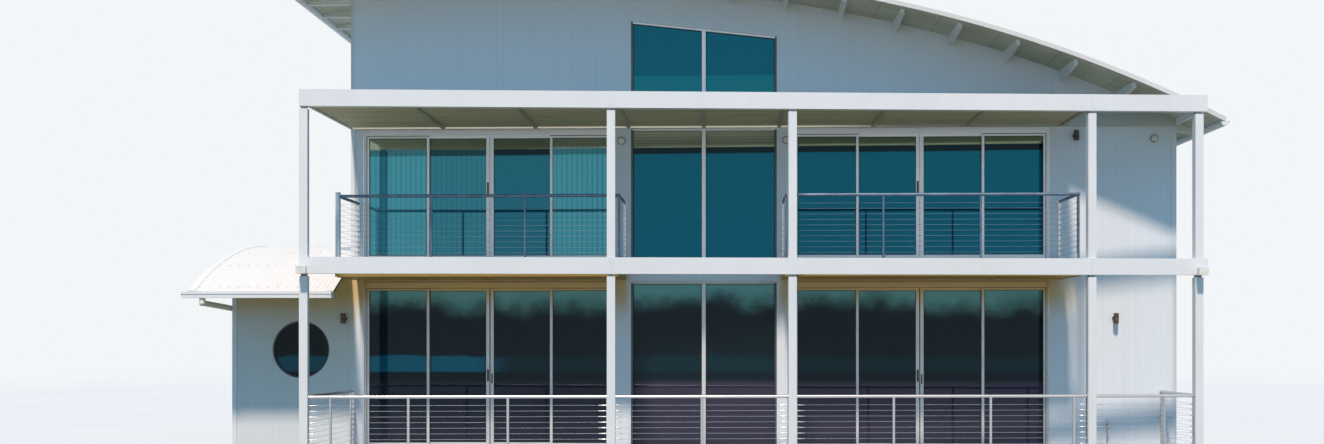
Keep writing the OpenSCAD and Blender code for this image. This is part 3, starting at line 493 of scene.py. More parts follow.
def roof_metal():
    """Off-white coated steel sheet: laps between the sheets, faint rain marks and dulled patches."""
    k = Mat("roof_metal")
    laps = k.most(k.groove(k.y, 0.76, 0.006), k.groove(k.x, 6.1, 0.001))
    k.base(k.patches(0.8, 5, 0.35, 0.75, 0.5, 0.6), (209, 211, 210), (202, 204, 203))
    k.lay(k.patches(1.0, 5, 0.55, 0.8, 0.15, 0.65, (0.9, 11, 0.9)), (184, 184, 177))
    k.lay(k.times(laps, 0.15), (150, 150, 146))
    k.gloss(4.0, 0.42, 0.56)
    k.grain(60.0, 0.0006, 0.2)
    return k.done()


def roof_lining():
    """Soffit sheets under the roof, with battened joints and a warm stain."""
    k = Mat("soffit_lining", Roughness=0.6)
    joints = k.most(k.groove(k.x, 0.9, 0.014), k.groove(k.y, 2.4, 0.004))
    k.base(k.patches(1.3, 5, 0.35, 0.75), (196, 200, 186), (170, 174, 156))
    k.lay(k.times(joints, 0.5), (104, 104, 90))
    k.bump(joints, 0.004, 0.6)
    k.grain(70.0, 0.0008, 0.25, 3)
    return k.done()


def louvre_paint():
    """Painted blades: dusty, a little different from blade to blade; the olive tone is painted bounce
    light and the darker tops are painted shade.
    """
    k = Mat("louvre_paint", Specular_IOR_Level=0.2)
    # Painted bounce light: the olive tone stands in for green-yellow light from below on pale blades.
    k.base(k.times(k.lot(k.math("DIVIDE", k.y, 0.15)), 0.35), (184, 186, 156), (162, 164, 134))
    k.lay(k.patches(2.0, 5, 0.42, 0.78, 0.4, 0.65, (0.6, 6, 6)), (122, 118, 96))
    # Painted shade: faces that look up are darkened, so less light bounces under the louvres.
    top = k.axis("Z", k.node("NewGeometry").outputs["Normal"])
    k.lay(k.step(top, 0.2, 0.6, 0.0, 0.85), (84, 86, 80))
    k.gloss(8.0, 0.42, 0.6)
    k.grain(120.0, 0.0006, 0.25)
    return k.done()


def concrete():
    """Steel-trowelled concrete with sawn joints, pores and stains."""
    k = Mat("concrete")
    joints = k.most(k.groove(k.x, 1.2, 0.005), k.groove(k.y, 1.2, 0.005))
    k.base(k.patches(0.9, 6, 0.32, 0.74, 1.0, 0.62), (160, 158, 151), (132, 130, 124))
    k.lay(k.patches(14.0, 5, 0.5, 0.8, 0.5, 0.7), (110, 108, 103))
    pores = k.node("TexVoronoi", Vector=k.at, Scale=55.0).outputs["Distance"]
    k.lay(k.times(k.step(pores, 0.16, 0.05), 0.35), (96, 94, 90))
    k.lay(k.times(joints, 0.7), (78, 77, 74))
    k.gloss(5.0, 0.62, 0.82, 4)
    k.bump(joints, 0.004, 0.5)
    k.grain(40.0, 0.0015, 0.35, 4)
    return k.done()


def timber(name, light, dark, board, rough=0.55):
    """Boards with long grain, each board a little different."""
    k = Mat(name)
    pick = k.lot(k.math("DIVIDE", k.y, board))
    shift = k.node("CombineXYZ", i0=k.times(pick, 7.0)).outputs[0]
    moved = k.node("VectorMath", i0=k.at, i1=shift).outputs[0]
    grain = k.noise(2.2, 6, 0.6, k.scaled(1.2, 26, 26, moved))
    lines = k.groove(k.y, board, 0.035)
    k.base(k.step(grain, 0.32, 0.7), light, dark)
    k.lay(k.times(pick, 0.45), dark)
    k.lay(k.times(lines, 0.75), (48, 40, 32))
    k.gloss(grain, rough - 0.08, rough + 0.1)
    k.bump(grain, 0.001, 0.4)
    k.bump(lines, 0.003, 0.5)
    return k.done()


def aluminium(name, jamb_painted_shade=0.0):
    """Powder-coated sections with some dust; the upper storey's frames get a painted highlight, the door
    heads painted warm bounce light, and the second argument paints shade on the bars beside the middle
    window.
    """
    k = Mat(name, Metallic=0.25)
    k.base(k.patches(2.2, 4, 0.35, 0.7), (208, 214, 216), (192, 199, 203))
    # Painted highlight: the upper storey's frames are lighter.
    k.lay(k.step(k.z, 3.3, 3.5, 0.0, 0.85), (244, 248, 250))
    # Painted bounce light: the frames close under the balconies are tinted golden olive.
    k.lay(k.times(painted_bounce_under_balconies(k, 2.7, 3.06), 0.9), (196, 166, 92))
    k.lay(k.patches(1.0, 5, 0.55, 0.8, 0.2, 0.6, (30, 30, 1.5)), (150, 154, 152))
    # Painted shade: the bars beside the middle window are darkened.
    if jamb_painted_shade:
        bars = WINDOW_W / 2 - BAR
        k.lay(k.step(k.from_x(AXIS_X), bars - 0.004, bars, 0.0, jamb_painted_shade), (40, 50, 56))
    k.gloss(12.0, 0.34, 0.48)
    k.grain(420.0, 0.0003, 0.25)
    return k.done()


def upper_blinds_and_reflections(k, front):
    """Upper panes: blinds painted on at the left, and painted reflections: the lit soffit over the dark
    band of the beam.
    """
    left, vane = DOOR_CENTRES[0] - DOOR_W / 2, (104, 200, 212)
    shown = k.most(k.step(k.x, left + 1.02, left + 1.0), k.step(k.x, left + 1.98, left + 1.95, 0.0, 0.35))
    shown = k.times(k.most(shown, k.step(k.from_x(left + 3.5), 0.52, 0.5)), front)
    k.lay(k.times(shown, k.step(k.math("PINGPONG", k.x, 0.0405), 0.012, 0.0, 0.62, 0.16)), vane)
    k.lay(k.times(k.step(k.x, left + DOOR_W, left + 3.0, 0.0, 0.14), front), vane)
    level = k.times_add(k.x, -0.006, k.z)
    front = k.times(front, k.step(level, 5.72, 5.68))
    # Painted reflection: a dark band, the shaded beam mirrored in the glass.
    shade = k.times(k.step(level, 5.195, 5.225), k.times_add(shown, -0.45, 0.92))
    k.lay(k.times(shade, front), (10, 24, 28))
    # Painted reflection: the lit louvre soffit, paler over the middle window, with the lines of its
    # blades.
    middle = k.step(k.from_x(AXIS_X), WINDOW_W / 2 + 0.05, WINDOW_W / 2)
    light = k.most(k.times(middle, k.step(level, 5.30, 5.58, 0.3, 1.0)), k.times(shown, 0.3))
    soffit = k.mix(light, (150, 164, 132), (232, 238, 214))
    soffit = k.mix(k.times(k.groove(level, 0.048, 0.3), 0.3), soffit, (112, 128, 104))
    k.lay(k.times(k.step(level, 5.302, 5.326), front), soffit)


def ground_reflections_and_shade(k, front):
    """Ground floor panes: a painted reflection of the sea, strongest at the left, and a faint violet cast
    of painted reflected light low down; the round window's glass is darkened as painted shade.
    """
    # Painted reflection: the sea, with a rippled upper edge.
    ripple = k.times_add(k.noise(1.4, 4, 0.6), 0.22, k.z)
    sea = k.times(k.step(k.z, 1.70, 1.735), k.step(ripple, 2.10, 2.05))
    sea = k.times(sea, k.step(k.x, DOOR_CENTRES[0] + 0.4, DOOR_CENTRES[0] - 0.3, 0.08, 0.85))
    sea = k.times(sea, k.step(k.x, LEFT - 0.5, LEFT, 0.5, 1.0))
    # Painted reflected light: a faint violet cast low down.
    low = k.times(k.step(k.z, 1.62, 1.5, 0.0, 0.1), k.step(k.x, -2.4, -1.6, 0.4, 1.0))
    k.lay(k.times(low, front), (176, 150, 196))
    # Painted shade: the round window's glass is darkened.
    k.lay(k.step(k.x, LEFT - 0.4, LEFT - 0.5, 0.0, 0.6), (2, 10, 14))
    k.lay(k.times(sea, front), (2, 108, 132))


def glass(name, deep, pale, metallic, bands):
    """Tinted mirror glass: paler near the top of each storey as a painted reflection, painted bands
    across the panes, faint rain marks and a slight roller wave.
    """
    k = Mat(name, Roughness=0.03, Metallic=metallic, Alpha=0.85, Specular_IOR_Level=0.2)
    # Painted reflection: each pane turns to the paler tone near the top of its storey.
    storey = k.math("FRACT", k.math("DIVIDE", k.math("SUBTRACT", k.z, GROUND_Z), UPPER_Z - GROUND_Z))
    k.base(k.step(k.times_add(k.noise(0.9, 5, 0.6), 0.32, storey), 0.88, 1.02), deep, pale)
    bands(k, k.step(k.y, FRONT + 0.5, FRONT + 0.4))
    k.lay(k.patches(1.0, 6, 0.6, 0.85, 0.06, 0.7, (22, 22, 1.2)), (150, 170, 170))
    k.grain(1.6, 0.004, 0.12)
    return k.done()


def steel():
    """Brushed stainless steel with fine lines and tea-stained spots."""
    k = Mat("railing_steel", Metallic=1.0)
    lines = k.noise(1.0, 4, 0.6, k.scaled(60, 420, 420))
    k.base(k.step(lines, 0.3, 0.7), (205, 209, 213), (176, 181, 186))
    k.lay(k.patches(30.0, 4, 0.66, 0.8, 0.35, 0.7), (150, 132, 108))
    k.gloss(lines, 0.24, 0.4)
    k.bump(lines, 0.0003, 0.2)
    return k.done()


def plain(name, light, dark, rough, scale=6.0, metallic=0.0, fine=150.0):
    """A small fitting's finish: two near tones, uneven gloss, a fine surface."""
    k = Mat(name, Metallic=metallic)
    k.base(k.patches(scale, 4, 0.35, 0.7), light, dark)
    k.gloss(scale * 2.3, max(0.05, rough - 0.07), rough + 0.09)
    k.grain(fine, 0.0005, 0.25)
    return k.done()


WALLS = wall_boards()
FRAME = painted("frame_paint", (224, 229, 232), (194, 200, 202))
BRACKET = painted("bracket_paint", (226, 232, 231), (176, 182, 178))
# Painted shade: the rafters get a dark olive tone for the shade under the louvres.
RAFTER_PAINTED_SHADE = painted("rafter_painted_shade", (150, 150, 132), (116, 114, 98))
# Painted bounce light: the balcony undersides get an olive-brown tone for warm light from below.
SOFFIT_PAINTED_BOUNCE = painted("soffit_painted_bounce", (154, 130, 64), (128, 106, 48))
# Painted shade: the wall ledger gets a greyer, darker copy of the frame paint.
LEDGER_PAINTED_SHADE = painted("ledger_painted_shade", (184, 190, 184), (156, 162, 154))
BEIGE = painted("beige_paint", (232, 228, 210), (190, 186, 170))
ROOF = roof_metal()
LINING = roof_lining()
LOUVRE_PAINTED_LIGHT = louvre_paint()
CONCRETE = concrete()
TIMBER = timber("floor_boards", (176, 138, 96), (122, 86, 52), 0.12, 0.4)
DECKING = timber("deck_boards", (166, 154, 138), (120, 108, 94), 0.095)
ALU = aluminium("window_aluminium")
# A copy of the window aluminium with painted shade on the bars beside the middle window.
WINDOW_ALU_PAINTED_SHADE = aluminium("middle_window_aluminium_painted_shade", 0.9)
TEAL_GLASS = glass("teal_glass", (2, 105, 129), (20, 126, 142), 0.5, upper_blinds_and_reflections)
DARK_GLASS = glass("dark_glass", (18, 38, 46), (92, 152, 152), 0.3, ground_reflections_and_shade)
STEEL = steel()
# Painted shade: darker copies of the railing steel and wire rope, for the balcony railings.
BALCONY_STEEL_PAINTED_SHADE = plain("balcony_steel_painted_shade", (96, 122, 146), (78, 100, 124), 0.35, 8.0, 0.4)
BALCONY_WIRE_PAINTED_SHADE = plain("balcony_wire_rope_painted_shade", (132, 148, 164), (104, 120, 136), 0.5, 40.0, 0.4, 900.0)
WIRE = plain("wire_rope", (170, 182, 196), (140, 152, 168), 0.5, 40.0, 0.5, 900.0)
# Painted shade: the column necks get a dark blue-grey for the shade under the beams.
NECK_PAINTED_SHADE = painted("neck_painted_shade", (118, 132, 146), (84, 92, 98), 0.5)
DARK_FRAME = plain("dark_frame", (54, 62, 68), (40, 47, 52), 0.4)
BRONZE = plain("dark_fittings", (78, 62, 54), (52, 44, 40), 0.4)
WHITE = plain("white_fittings", (236, 238, 236), (214, 217, 214), 0.35)
RUBBER = plain("black_gasket", (34, 36, 38), (20, 21, 22), 0.65, 20.0)
ZINC = plain("zinc_bolts", (176, 180, 182), (128, 132, 134), 0.38, 30.0, 1.0)
LENS = plain("lamp_lens", (232, 234, 228), (206, 208, 200), 0.2, 8.0)
RIM = plain("lamp_rim", (150, 152, 146), (126, 128, 124), 0.4, 8.0)
BLIND = plain("blind_vanes", (198, 226, 224), (160, 196, 196), 0.7, 3.0, 0.0, 300.0)
SLATS = plain("blind_slats", (186, 190, 188), (160, 165, 164), 0.5, 3.0)
PLASTER = plain("ceiling_plaster", (214, 214, 208), (198, 198, 191), 0.8, 1.5, 0.0, 40.0)

FINISHES = {
    WALLS: (
        "front_plinth front_piers_ground front_floor_band front_piers_upper front_gable left_wall"
        " right_wall back_wall wing_front_wall wing_outer_walls"
    ),
    FRAME: (
        "eave_gutters corner_trims wing_gutters columns_ground columns_upper lower_beam upper_beam"
        " side_beams"
    ),
    BEIGE: "downpipes",
    LEDGER_PAINTED_SHADE: "wall_ledger",
    RAFTER_PAINTED_SHADE: "verandah_rafters",
    SOFFIT_PAINTED_BOUNCE: "balcony_floors",
    DARK_FRAME: "round_window_frame",
    WINDOW_ALU_PAINTED_SHADE: "window_frames",
    BRACKET: "roof_brackets",
    ROOF: "main_roof wing_roof",
    LOUVRE_PAINTED_LIGHT: "louvre_blades",
    CONCRETE: "ground_floor wing_floor verandah_floor",
    TIMBER: "upper_floor",
    ALU: (
        "ground_door_frames upper_door_frames back_window_frames side_window_frames"
        " left_door_a left_door_b right_door_a right_door_b"
    ),
    TEAL_GLASS: "upper_glass back_glass side_glass",
    DARK_GLASS: "ground_glass left_door_a_glass left_door_b_glass right_door_a_glass right_door_b_glass",
    STEEL: (
        "ground_railing ground_railing_ends left_balcony_railing right_balcony_railing"
        " balcony_railing_ends"
    ),
    NECK_PAINTED_SHADE: "column_necks",
    BRONZE: "wall_lights",
    WHITE: "round_lights floodlights",
}
for material, names in FINISHES.items():
    for name in names.split():
        for slot in NODES[name].material_slots:
            slot.material = material


# Corrugated roofs

CORRUGATION = 0.076
MAIN_WAVE, WING_WAVE = (0.052, 0.017), (0.044, 0.007)
LINING_DROP = 0.0008


def wave(t, crest, depth):
    """Height of a corrugated sheet at a place across its waves."""
    return crest - depth / 2 + depth / 2 * math.cos(2 * math.pi * t / CORRUGATION)


def wave_steps(start, end, per_wave):
    """Places across the waves, a few to each wave."""
    count = int((end - start) / CORRUGATION * per_wave)
    return [start + (end - start) * i / count for i in range(count + 1)]


def crests(start, end, every):
    """Every second or third crest between two places."""
    numbers = range(int(start / CORRUGATION) - 1, int(end / CORRUGATION) + 2)
    return [i * CORRUGATION for i in numbers if i % every == 0 and start < i * CORRUGATION < end]


def roof_screw(p, at, top):
    """A hexagon head, top over the sheet, on its washer."""
    p.lathe([(0.011, 0), (0.010, 0.0025)], at, UP, 0, 8, False)
    p.lathe([(0.006, 0.0025), (0.0055, top)], at, UP, 0, 6, False)


def main_roof():
    xs = spread(ROOF_LEFT, ROOF_RIGHT, 0.26)
    y0, y1 = ROOF_FRONT + 0.006, ROOF_BACK - 0.006
    ys = wave_steps(y0, y1, 5)
    sheet = Piece()
    sheet.surface([[(x, y, roof_under(x, wave(y, *MAIN_WAVE))) for x in xs] for y in ys])
    for x in (ROOF_LEFT, ROOF_RIGHT):
        edge = [[(x, y, roof_under(x, lift)) for lift in (wave(y, *MAIN_WAVE), 0.030)] for y in ys]
        sheet.surface(edge, False)
    sheet.make("main_roof_sheet", [ROOF], "roof_metal", "main_roof", facing=1)

    lining = Piece()
    lining.surface([[(x, y, roof_under(x) - LINING_DROP) for x in xs] for y in spread(y0, y1, 1.2)])
    for y in spread(y0 + 0.3, y1 - 0.3, 0.9):
        if y < FRONT - 0.05 or y > BACK + 0.05:
            section = [(y - 0.02, -0.001), (y + 0.02, -0.001), (y + 0.02, -0.008), (y - 0.02, -0.008)]
            lining.bar([[(x, v, roof_under(x, w)) for v, w in section] for x in xs])
    lining.make("main_roof_lining", [LINING], "roof_metal", facing=-1)

    trim = Piece()
    fascia = [(0, -0.008), (0, 0.057), (0.002, 0.0592), (0.115, 0.0592)]
    fascia += [(0.125, 0.054), (0.003, 0.056), (0.003, -0.008)]
    for y, side in ((ROOF_FRONT, 1), (ROOF_BACK, -1)):
        trim.bar([[(x, y + side * v, roof_under(x, w)) for v, w in fascia] for x in xs])
        for x in spread(ROOF_LEFT + 0.2, ROOF_RIGHT - 0.2, 0.6):
            trim.bolt((x, y + side * 0.06, roof_under(x, 0.0555)), UP, 0.004, 1)
    for x, side in ((ROOF_LEFT, 1), (ROOF_RIGHT, -1)):
        low = roof_under(x)
        trim.box((x, ROOF_FRONT + 0.004, low - 0.002), (x + side * 0.012, ROOF_BACK - 0.004, low + 0.034))
    trim.make("main_roof_trim", [ROOF, ZINC], "roof_metal")

    screws = Piece()
    for x in spread(ROOF_LEFT + 0.12, ROOF_RIGHT - 0.12, 0.95):
        for y in crests(y0 + 0.14, y1 - 0.14, 3):
            roof_screw(screws, (x, y, roof_under(x, 0.0518)), 0.0065)
    screws.make("main_roof_screws", [ZINC], "roof_metal")


def wing_roof():
    ys = spread(WING_Y0, WING_Y1, 0.16)
    x0, x1 = WING_X0 + 0.004, LEFT - 0.001
    xs = wave_steps(x0, x1, 8)
    sheet = Piece()
    sheet.surface([[(x, y, wing_under(y, wave(x, *WING_WAVE))) for x in xs] for y in reversed(ys)])
    for y in (WING_Y0, WING_Y1):
        edge = [[(x, y, wing_under(y, lift)) for lift in (wave(x, *WING_WAVE), 0.022)] for x in xs]
        sheet.surface(edge, False)
    screws = Piece()
    for y in spread(WING_Y0 + 0.12, WING_Y1 - 0.12, 0.9):
        for x in crests(x0 + 0.12, x1 - 0.09, 2):
            roof_screw(screws, (x, y, wing_under(y, 0.0438)), 0.006)
    screws.make("wing_roof_screws", [ZINC], "roof_metal")
    sheet.make("wing_roof_sheet", [ROOF], "roof_metal", "wing_roof", facing=1)

    lining = Piece()
    lining.surface([[(x, y, wing_under(y) - LINING_DROP) for x in spread(x0, x1, 0.6)] for y in ys])
    lining.make("wing_roof_lining", [LINING], "roof_metal", facing=-1)

    trim = Piece()
    for y, side in ((WING_Y0, 1), (WING_Y1, -1)):
        z = wing_under(y)
        trim.box((x0, y, z - 0.002), (x1, y + side * 0.01, z + 0.026))
    verge = [(0, -0.010), (0, 0.048), (0.002, 0.050), (0.105, 0.050), (0.115, 0.0390)]
    verge += [(0.113, 0.0385), (0.104, 0.046), (0.003, 0.046), (0.003, -0.010)]
    apron = [(0, 0.046), (-0.10, 0.046), (-0.10, 0.049), (-0.006, 0.052), (-0.003, 0.060)]
    apron += [(-0.003, 0.145), (0, 0.145)]
    lap = [(0.0, 0.050), (-0.10, 0.050), (-0.10, 0.044), (0.0, 0.044)]
    along_wall, before_wall = spread(FRONT, WING_Y1, 0.16), spread(WING_Y0, FRONT, 0.16)
    strips = [(verge, WING_X0, ys), (apron[::-1], LEFT, along_wall), (lap[::-1], LEFT, before_wall)]
    for section, x, rows in strips:
        trim.bar([[(x + v, y, wing_under(y, w)) for v, w in section] for y in rows])
    for y in spread(FRONT + 0.1, WING_Y1 - 0.1, 0.45):
        trim.bolt((LEFT - 0.003, y, wing_under(y, 0.12)), (-1, 0, 0), 0.006, 1)
    trim.make("wing_roof_flashings", [ROOF, ZINC], "roof_metal")


# Gutters, downpipes and their fixings


def half_round(x, y, z, radius, steps):
    """A half circle that hangs across a gutter."""
    arc = [math.pi * (1 + k / steps) for k in range(steps + 1)]
    return [(x + radius * math.cos(a), y, z + radius * math.sin(a)) for a in arc]


def gutter_fittings():
    p = Piece()
    for x, edge in ((ROOF_LEFT + 0.01, ROOF_LEFT), (ROOF_RIGHT - 0.01, ROOF_RIGHT)):
        z = roof_under(edge) - 0.003
        for rim in (x - 0.0545, x + 0.0545):
            p.tube([(rim, ROOF_FRONT, z - 0.002), (rim, ROOF_BACK, z - 0.002)], 0.008, 0, 8)
        for y in spread(ROOF_FRONT + 0.435, ROOF_BACK - 0.435, 0.87):
            for dy in (-0.012, 0.012):
                p.tube(half_round(x, y + dy, z, 0.060, 12), 0.0025, 0, 6)
            for dx in (-0.045, 0.045):
                p.bolt((x + dx, y, z + 0.003), UP, 0.005, 1)
        for y in (ROOF_FRONT + 0.003, ROOF_BACK - 0.003):
            p.tube(half_round(x, y, z, 0.0585, 14), 0.003, 0, 6)
    z = wing_under(WING_Y0)
    for side in (-1, 1):
        y = WING_MID + side * (WING_HALF + 0.0625)
        outer = y + side * 0.0565
        p.tube([(WING_X0 - 0.06, outer, z + 0.031), (LEFT, outer, z + 0.031)], 0.006, 0, 8)
        p.box((WING_X0 - 0.0598, outer, z - 0.012), (LEFT, outer + side * 0.006, z - 0.004))
        for x in spread(WING_X0 + 0.1, LEFT - 0.15, 0.6):
            p.box((x - 0.012, y - 0.058, z + 0.024), (x + 0.012, y + 0.058, z + 0.027))
    p.make("gutter_fittings", [FRAME, ZINC], "frame_paint")


def pipe_clips():
    p = Piece()
    stand, back_y = 0.049, BACK - 0.435
    for x, y, toward, top in (
        (LEFT - stand, back_y, 1, 6.4),
        (RIGHT + stand, back_y, -1, 4.6),
        (WING_LEFT - stand, FRONT + 0.42, 1, 2.5),
    ):
        for z in spread(0.35, top, 1.5):
            p.lathe([(0.0465, -0.014), (0.0475, -0.012), (0.0475, 0.012), (0.0465, 0.014)], (x, y, z))
            foot = x + toward * 0.046
            for side in (-1, 1):
                ear = y + side * 0.058
                p.box((foot, ear - 0.013, z - 0.014), (x + toward * stand, ear + 0.013, z + 0.014))
                p.bolt((foot, y + side * 0.060, z), (-toward, 0, 0), 0.006, 1)
        p.lathe([(0.054, 0.0), (0.054, 0.02), (0.047, 0.035)], (x, y, 0.0))
    p.make("pipe_clips", [FRAME, ZINC], "frame_paint")


# Verandah frame: base plates, caps, splice bolts


def frame_fittings():
    p = Piece()
    for x in COLUMN_X:
        p.place = along_frame(x, VERANDAH_Z)
        p.box((-0.095, -0.095, 0), (0.095, 0.095, 0.012), 0, 0.002)
        for dx in (-0.076, 0.076):
            for dy in (-0.076, 0.076):
                p.bolt((dx, dy, 0.012), UP, 0.014, 1)
        for top in (DECK_Z, UPPER_BEAM):
            p.place = along_frame(x, top - BEAM_H - NECK_H)
            p.box((-0.0605, -0.0605, -0.008), (0.0605, 0.0605, 0.003), 0, 0.0015)
            p.box((-0.052, -0.052, NECK_H - 0.008), (0.052, 0.052, NECK_H - 0.0005), 0, 0.001)
            for dx in (-0.034, 0.034):
                p.bolt((dx, -0.0402, NECK_H / 2), OUT, 0.007, 1)
        p.place = along_frame(x, DECK_Z)
        p.box((-0.064, -0.064, 0), (0.064, 0.064, 0.010), 0, 0.002)
    for top in (DECK_Z, UPPER_BEAM):
        for i in (1, 3):
            p.place = along_frame(COLUMN_X[i], top)
            for dx in (-0.035, 0.035):
                for dz in (-0.05, -0.19):
                    p.bolt((dx, -BEAM_W / 2, dz), OUT, 0.008)
    p.make("frame_fittings", [FRAME, ZINC], "frame_paint")


# Railings

RAIL_Z, RAIL_R, POST_TOP = 0.981, 0.024, 0.975
WIRE_LEVELS = [RAIL_Z + RAIL_R - 0.148 - k * 0.082 for k in range(10)]
PLATE_T, PLATE_LOW = 0.008, 0.089


def railing(p, start, end, floor_z, shares, plates=True, post=0.020, wire=0.002):
    """A straight railing with its posts, wires, feet and tensioners; kinds are steel, rail, wire."""
    (x0, y0), (x1, y1) = start, end
    length = math.hypot(x1 - x0, y1 - y0)
    p.place = placed(x0, y0, floor_z, math.atan2(y1 - y0, x1 - x0))
    p.tube([(0, 0, RAIL_Z), (length, 0, RAIL_Z)], RAIL_R, 1, 20)
    for z in WIRE_LEVELS:
        p.tube([(0.004, 0, z), (length - 0.004, 0, z)], wire, 2, 8)
    foot = [(0.048, 0), (0.048, 0.007), (0.045, 0.009), (post + 0.004, 0.010), (post + 0.0015, 0.028)]
    sleeve = [(post + 0.0015, -0.03), (post + 0.004, -0.004), (0.0255, 0.0)]
    bush = [(0.004, -post - 0.0035), (0.006, -post - 0.0025)]
    bush += [(r, -h) for r, h in reversed(bush)]
    for x in (share * length for share in shares):
        p.tube([(x, 0, 0), (x, 0, POST_TOP)], post, 0, 20)
        p.lathe(foot, (x, 0, 0), UP, 0, 20, False)
        for k in range(3):
            t = 2 * math.pi * k / 3 + 0.5
            p.bolt((x + 0.036 * math.cos(t), 0.036 * math.sin(t), 0.009), UP, 0.006)
        p.lathe(sleeve, (x, 0, POST_TOP), UP, 0, 16)
        for z in WIRE_LEVELS:
            p.lathe(bush, (x, 0, z), (1, 0, 0), 0, 10)
    nut = [(0.011, 0), (0.011, 0.007), (0.0065, 0.008), (0.0065, 0.022)]
    barrel = [(0.0085, 0.022), (0.0085, 0.075), (0.0055, 0.082), (0.0055, 0.11)]
    collar = [(0.036, 0), (0.036, 0.005), (0.0265, 0.007), (0.0265, 0.02)]
    for x, side in ((0.0, 1), (length, -1)) if plates else ():
        p.box((x, -0.020, PLATE_LOW), (x + side * PLATE_T, 0.020, RAIL_Z), 0, 0.001)
        for z in WIRE_LEVELS:
            p.lathe(nut, (x + side * PLATE_T, 0, z), (side, 0, 0), 0, 6, False)
            p.lathe(barrel, (x + side * PLATE_T, 0, z), (side, 0, 0), 0, 10)
        p.lathe(collar, (x, 0, RAIL_Z), (side, 0, 0), 0, 20, False)
    p.place = Matrix.Identity(4)


def beside_column(i, across, back=0.0):
    """A place on the frame, along it and behind it from the middle of a column."""
    x = COLUMN_X[i] + across * math.cos(ANGLE) - back * math.sin(ANGLE)
    return (x, frame_y(COLUMN_X[i]) + across * math.sin(ANGLE) + back * math.cos(ANGLE))


def ground_railings():
    p, ends = Piece(), Piece()
    half = COLUMN_W / 2
    for i, shares in enumerate(((1 / 3, 2 / 3), (0.5,), (1 / 3, 2 / 3, 0.955), ())):
        railing(p, beside_column(i, half), beside_column(i + 1, -half), VERANDAH_Z, shares)
    start = beside_column(0, 0, half + 0.0035)
    railing(ends, start, (LEFT + 0.04, FRONT - 0.002), VERANDAH_Z, (0.5, 0.94))
    x, y = beside_column(4, 0, half)
    end = (x - (FRONT - 0.0018 - y) * math.tan(ANGLE), FRONT - 0.002)
    railing(ends, (x, y), end, VERANDAH_Z, (0.93,))
    finish = [STEEL, STEEL, WIRE]
    p.make("ground_railing_detailed", finish, "railing_steel", "ground_railing")
    ends.make("ground_railing_ends_detailed", finish, "railing_steel", "ground_railing_ends")


def balcony_railings():
    ends, y = Piece(), BALCONY_RAIL_Y
    for side, (x0, x1) in zip(("left", "right"), BALCONIES):
        a, b = x0 + 0.03, x1 - 0.03
        p = Piece()
        shares = (1 / 3, 2 / 3, 1) if side == "left" else (0, 1 / 3, 2 / 3, 1)
        railing(p, (a, y), (b, y), DECK_Z, shares, False, 0.0165, 0.0015)
        if side == "left":
            for half, low, high, edge in (
                (0.0325, 0.008, 1.036, 0.003),
                (0.0345, 1.034, 1.040, 0.002),
                (0.05, 0.0, 0.008, 0.002),
            ):
                p.box((a - half, y - half, DECK_Z + low), (a + half, y + half, DECK_Z + high), 3, edge)
        # The balcony rails and posts take the darkened steel and the wires the darkened wire rope:
        # painted shade.
        finish, name = [BALCONY_STEEL_PAINTED_SHADE, BALCONY_STEEL_PAINTED_SHADE, BALCONY_WIRE_PAINTED_SHADE, FRAME], f"{side}_balcony_railing"
        p.make(f"{name}_detailed", finish, "railing_steel", name)
        for x in (a, b):
            post = 0.065 if side == "left" and x == a else 0.048
            railing(ends, (x, y + post / 2), (x, FRONT), DECK_Z, ())
    # Painted shade: the return rails and wires use the darkened copies.
    finish = [STEEL, BALCONY_STEEL_PAINTED_SHADE, BALCONY_WIRE_PAINTED_SHADE]
    ends.make("balcony_railing_ends_detailed", finish, "railing_steel", "balcony_railing_ends")


# Balcony boards and soffits


def balconies():
    p, s = Piece(), Piece()
    for x0, x1 in BALCONIES:
        y = FRONT - 1.255
        while y + 0.088 < FRONT:
            p.box((x0 + 0.004, y, DECK_Z), (x1 - 0.004, y + 0.088, DECK_Z + 0.012), 0, 0.002)
            y += 0.093
        z = DECK_Z - BEAM_H
        for x in spread(x0 + 0.03, x1 - 0.03, 1.2):
            s.box((x - 0.02, FRONT - 1.20, z - 0.008), (x + 0.02, FRONT - 0.01, z), 0, 0.001)
    p.make("balcony_boards", [DECKING], "floor_lining")
    s.make("balcony_soffit_strips", [SOFFIT_PAINTED_BOUNCE], "frame_paint")


# Sliding doors: gaskets, handles, tracks and flashings

RUBBER_W = 0.009


def gasket(p, x0, x1, z0, z1, y):
    """Rubber around both faces of a pane whose outer face is at y."""
    w = RUBBER_W
    for y0, y1 in ((y - 0.006, y + 0.001), (y + GLASS_T - 0.001, y + GLASS_T + 0.006)):
        p.box((x0, y0, z0), (x0 + w, y1, z1))
        p.box((x1 - w, y0, z0), (x1, y1, z1))
        p.box((x0 + w, y0, z0), (x1 - w, y1, z0 + w))
        p.box((x0 + w, y0, z1 - w), (x1 - w, y1, z1))


def panel_gasket(p, centre, i, z0, z1, track):
    """The gasket of a door panel: the stiles that meet in the middle are wider."""
    x0, x1 = panel_edges(centre, i)
    x0, x1 = x0 + (MEETING if i == 2 else STILE), x1 - (MEETING if i == 1 else STILE)
    gasket(p, x0, x1, z0, z1, track + (PANEL_D - GLASS_T) / 2)


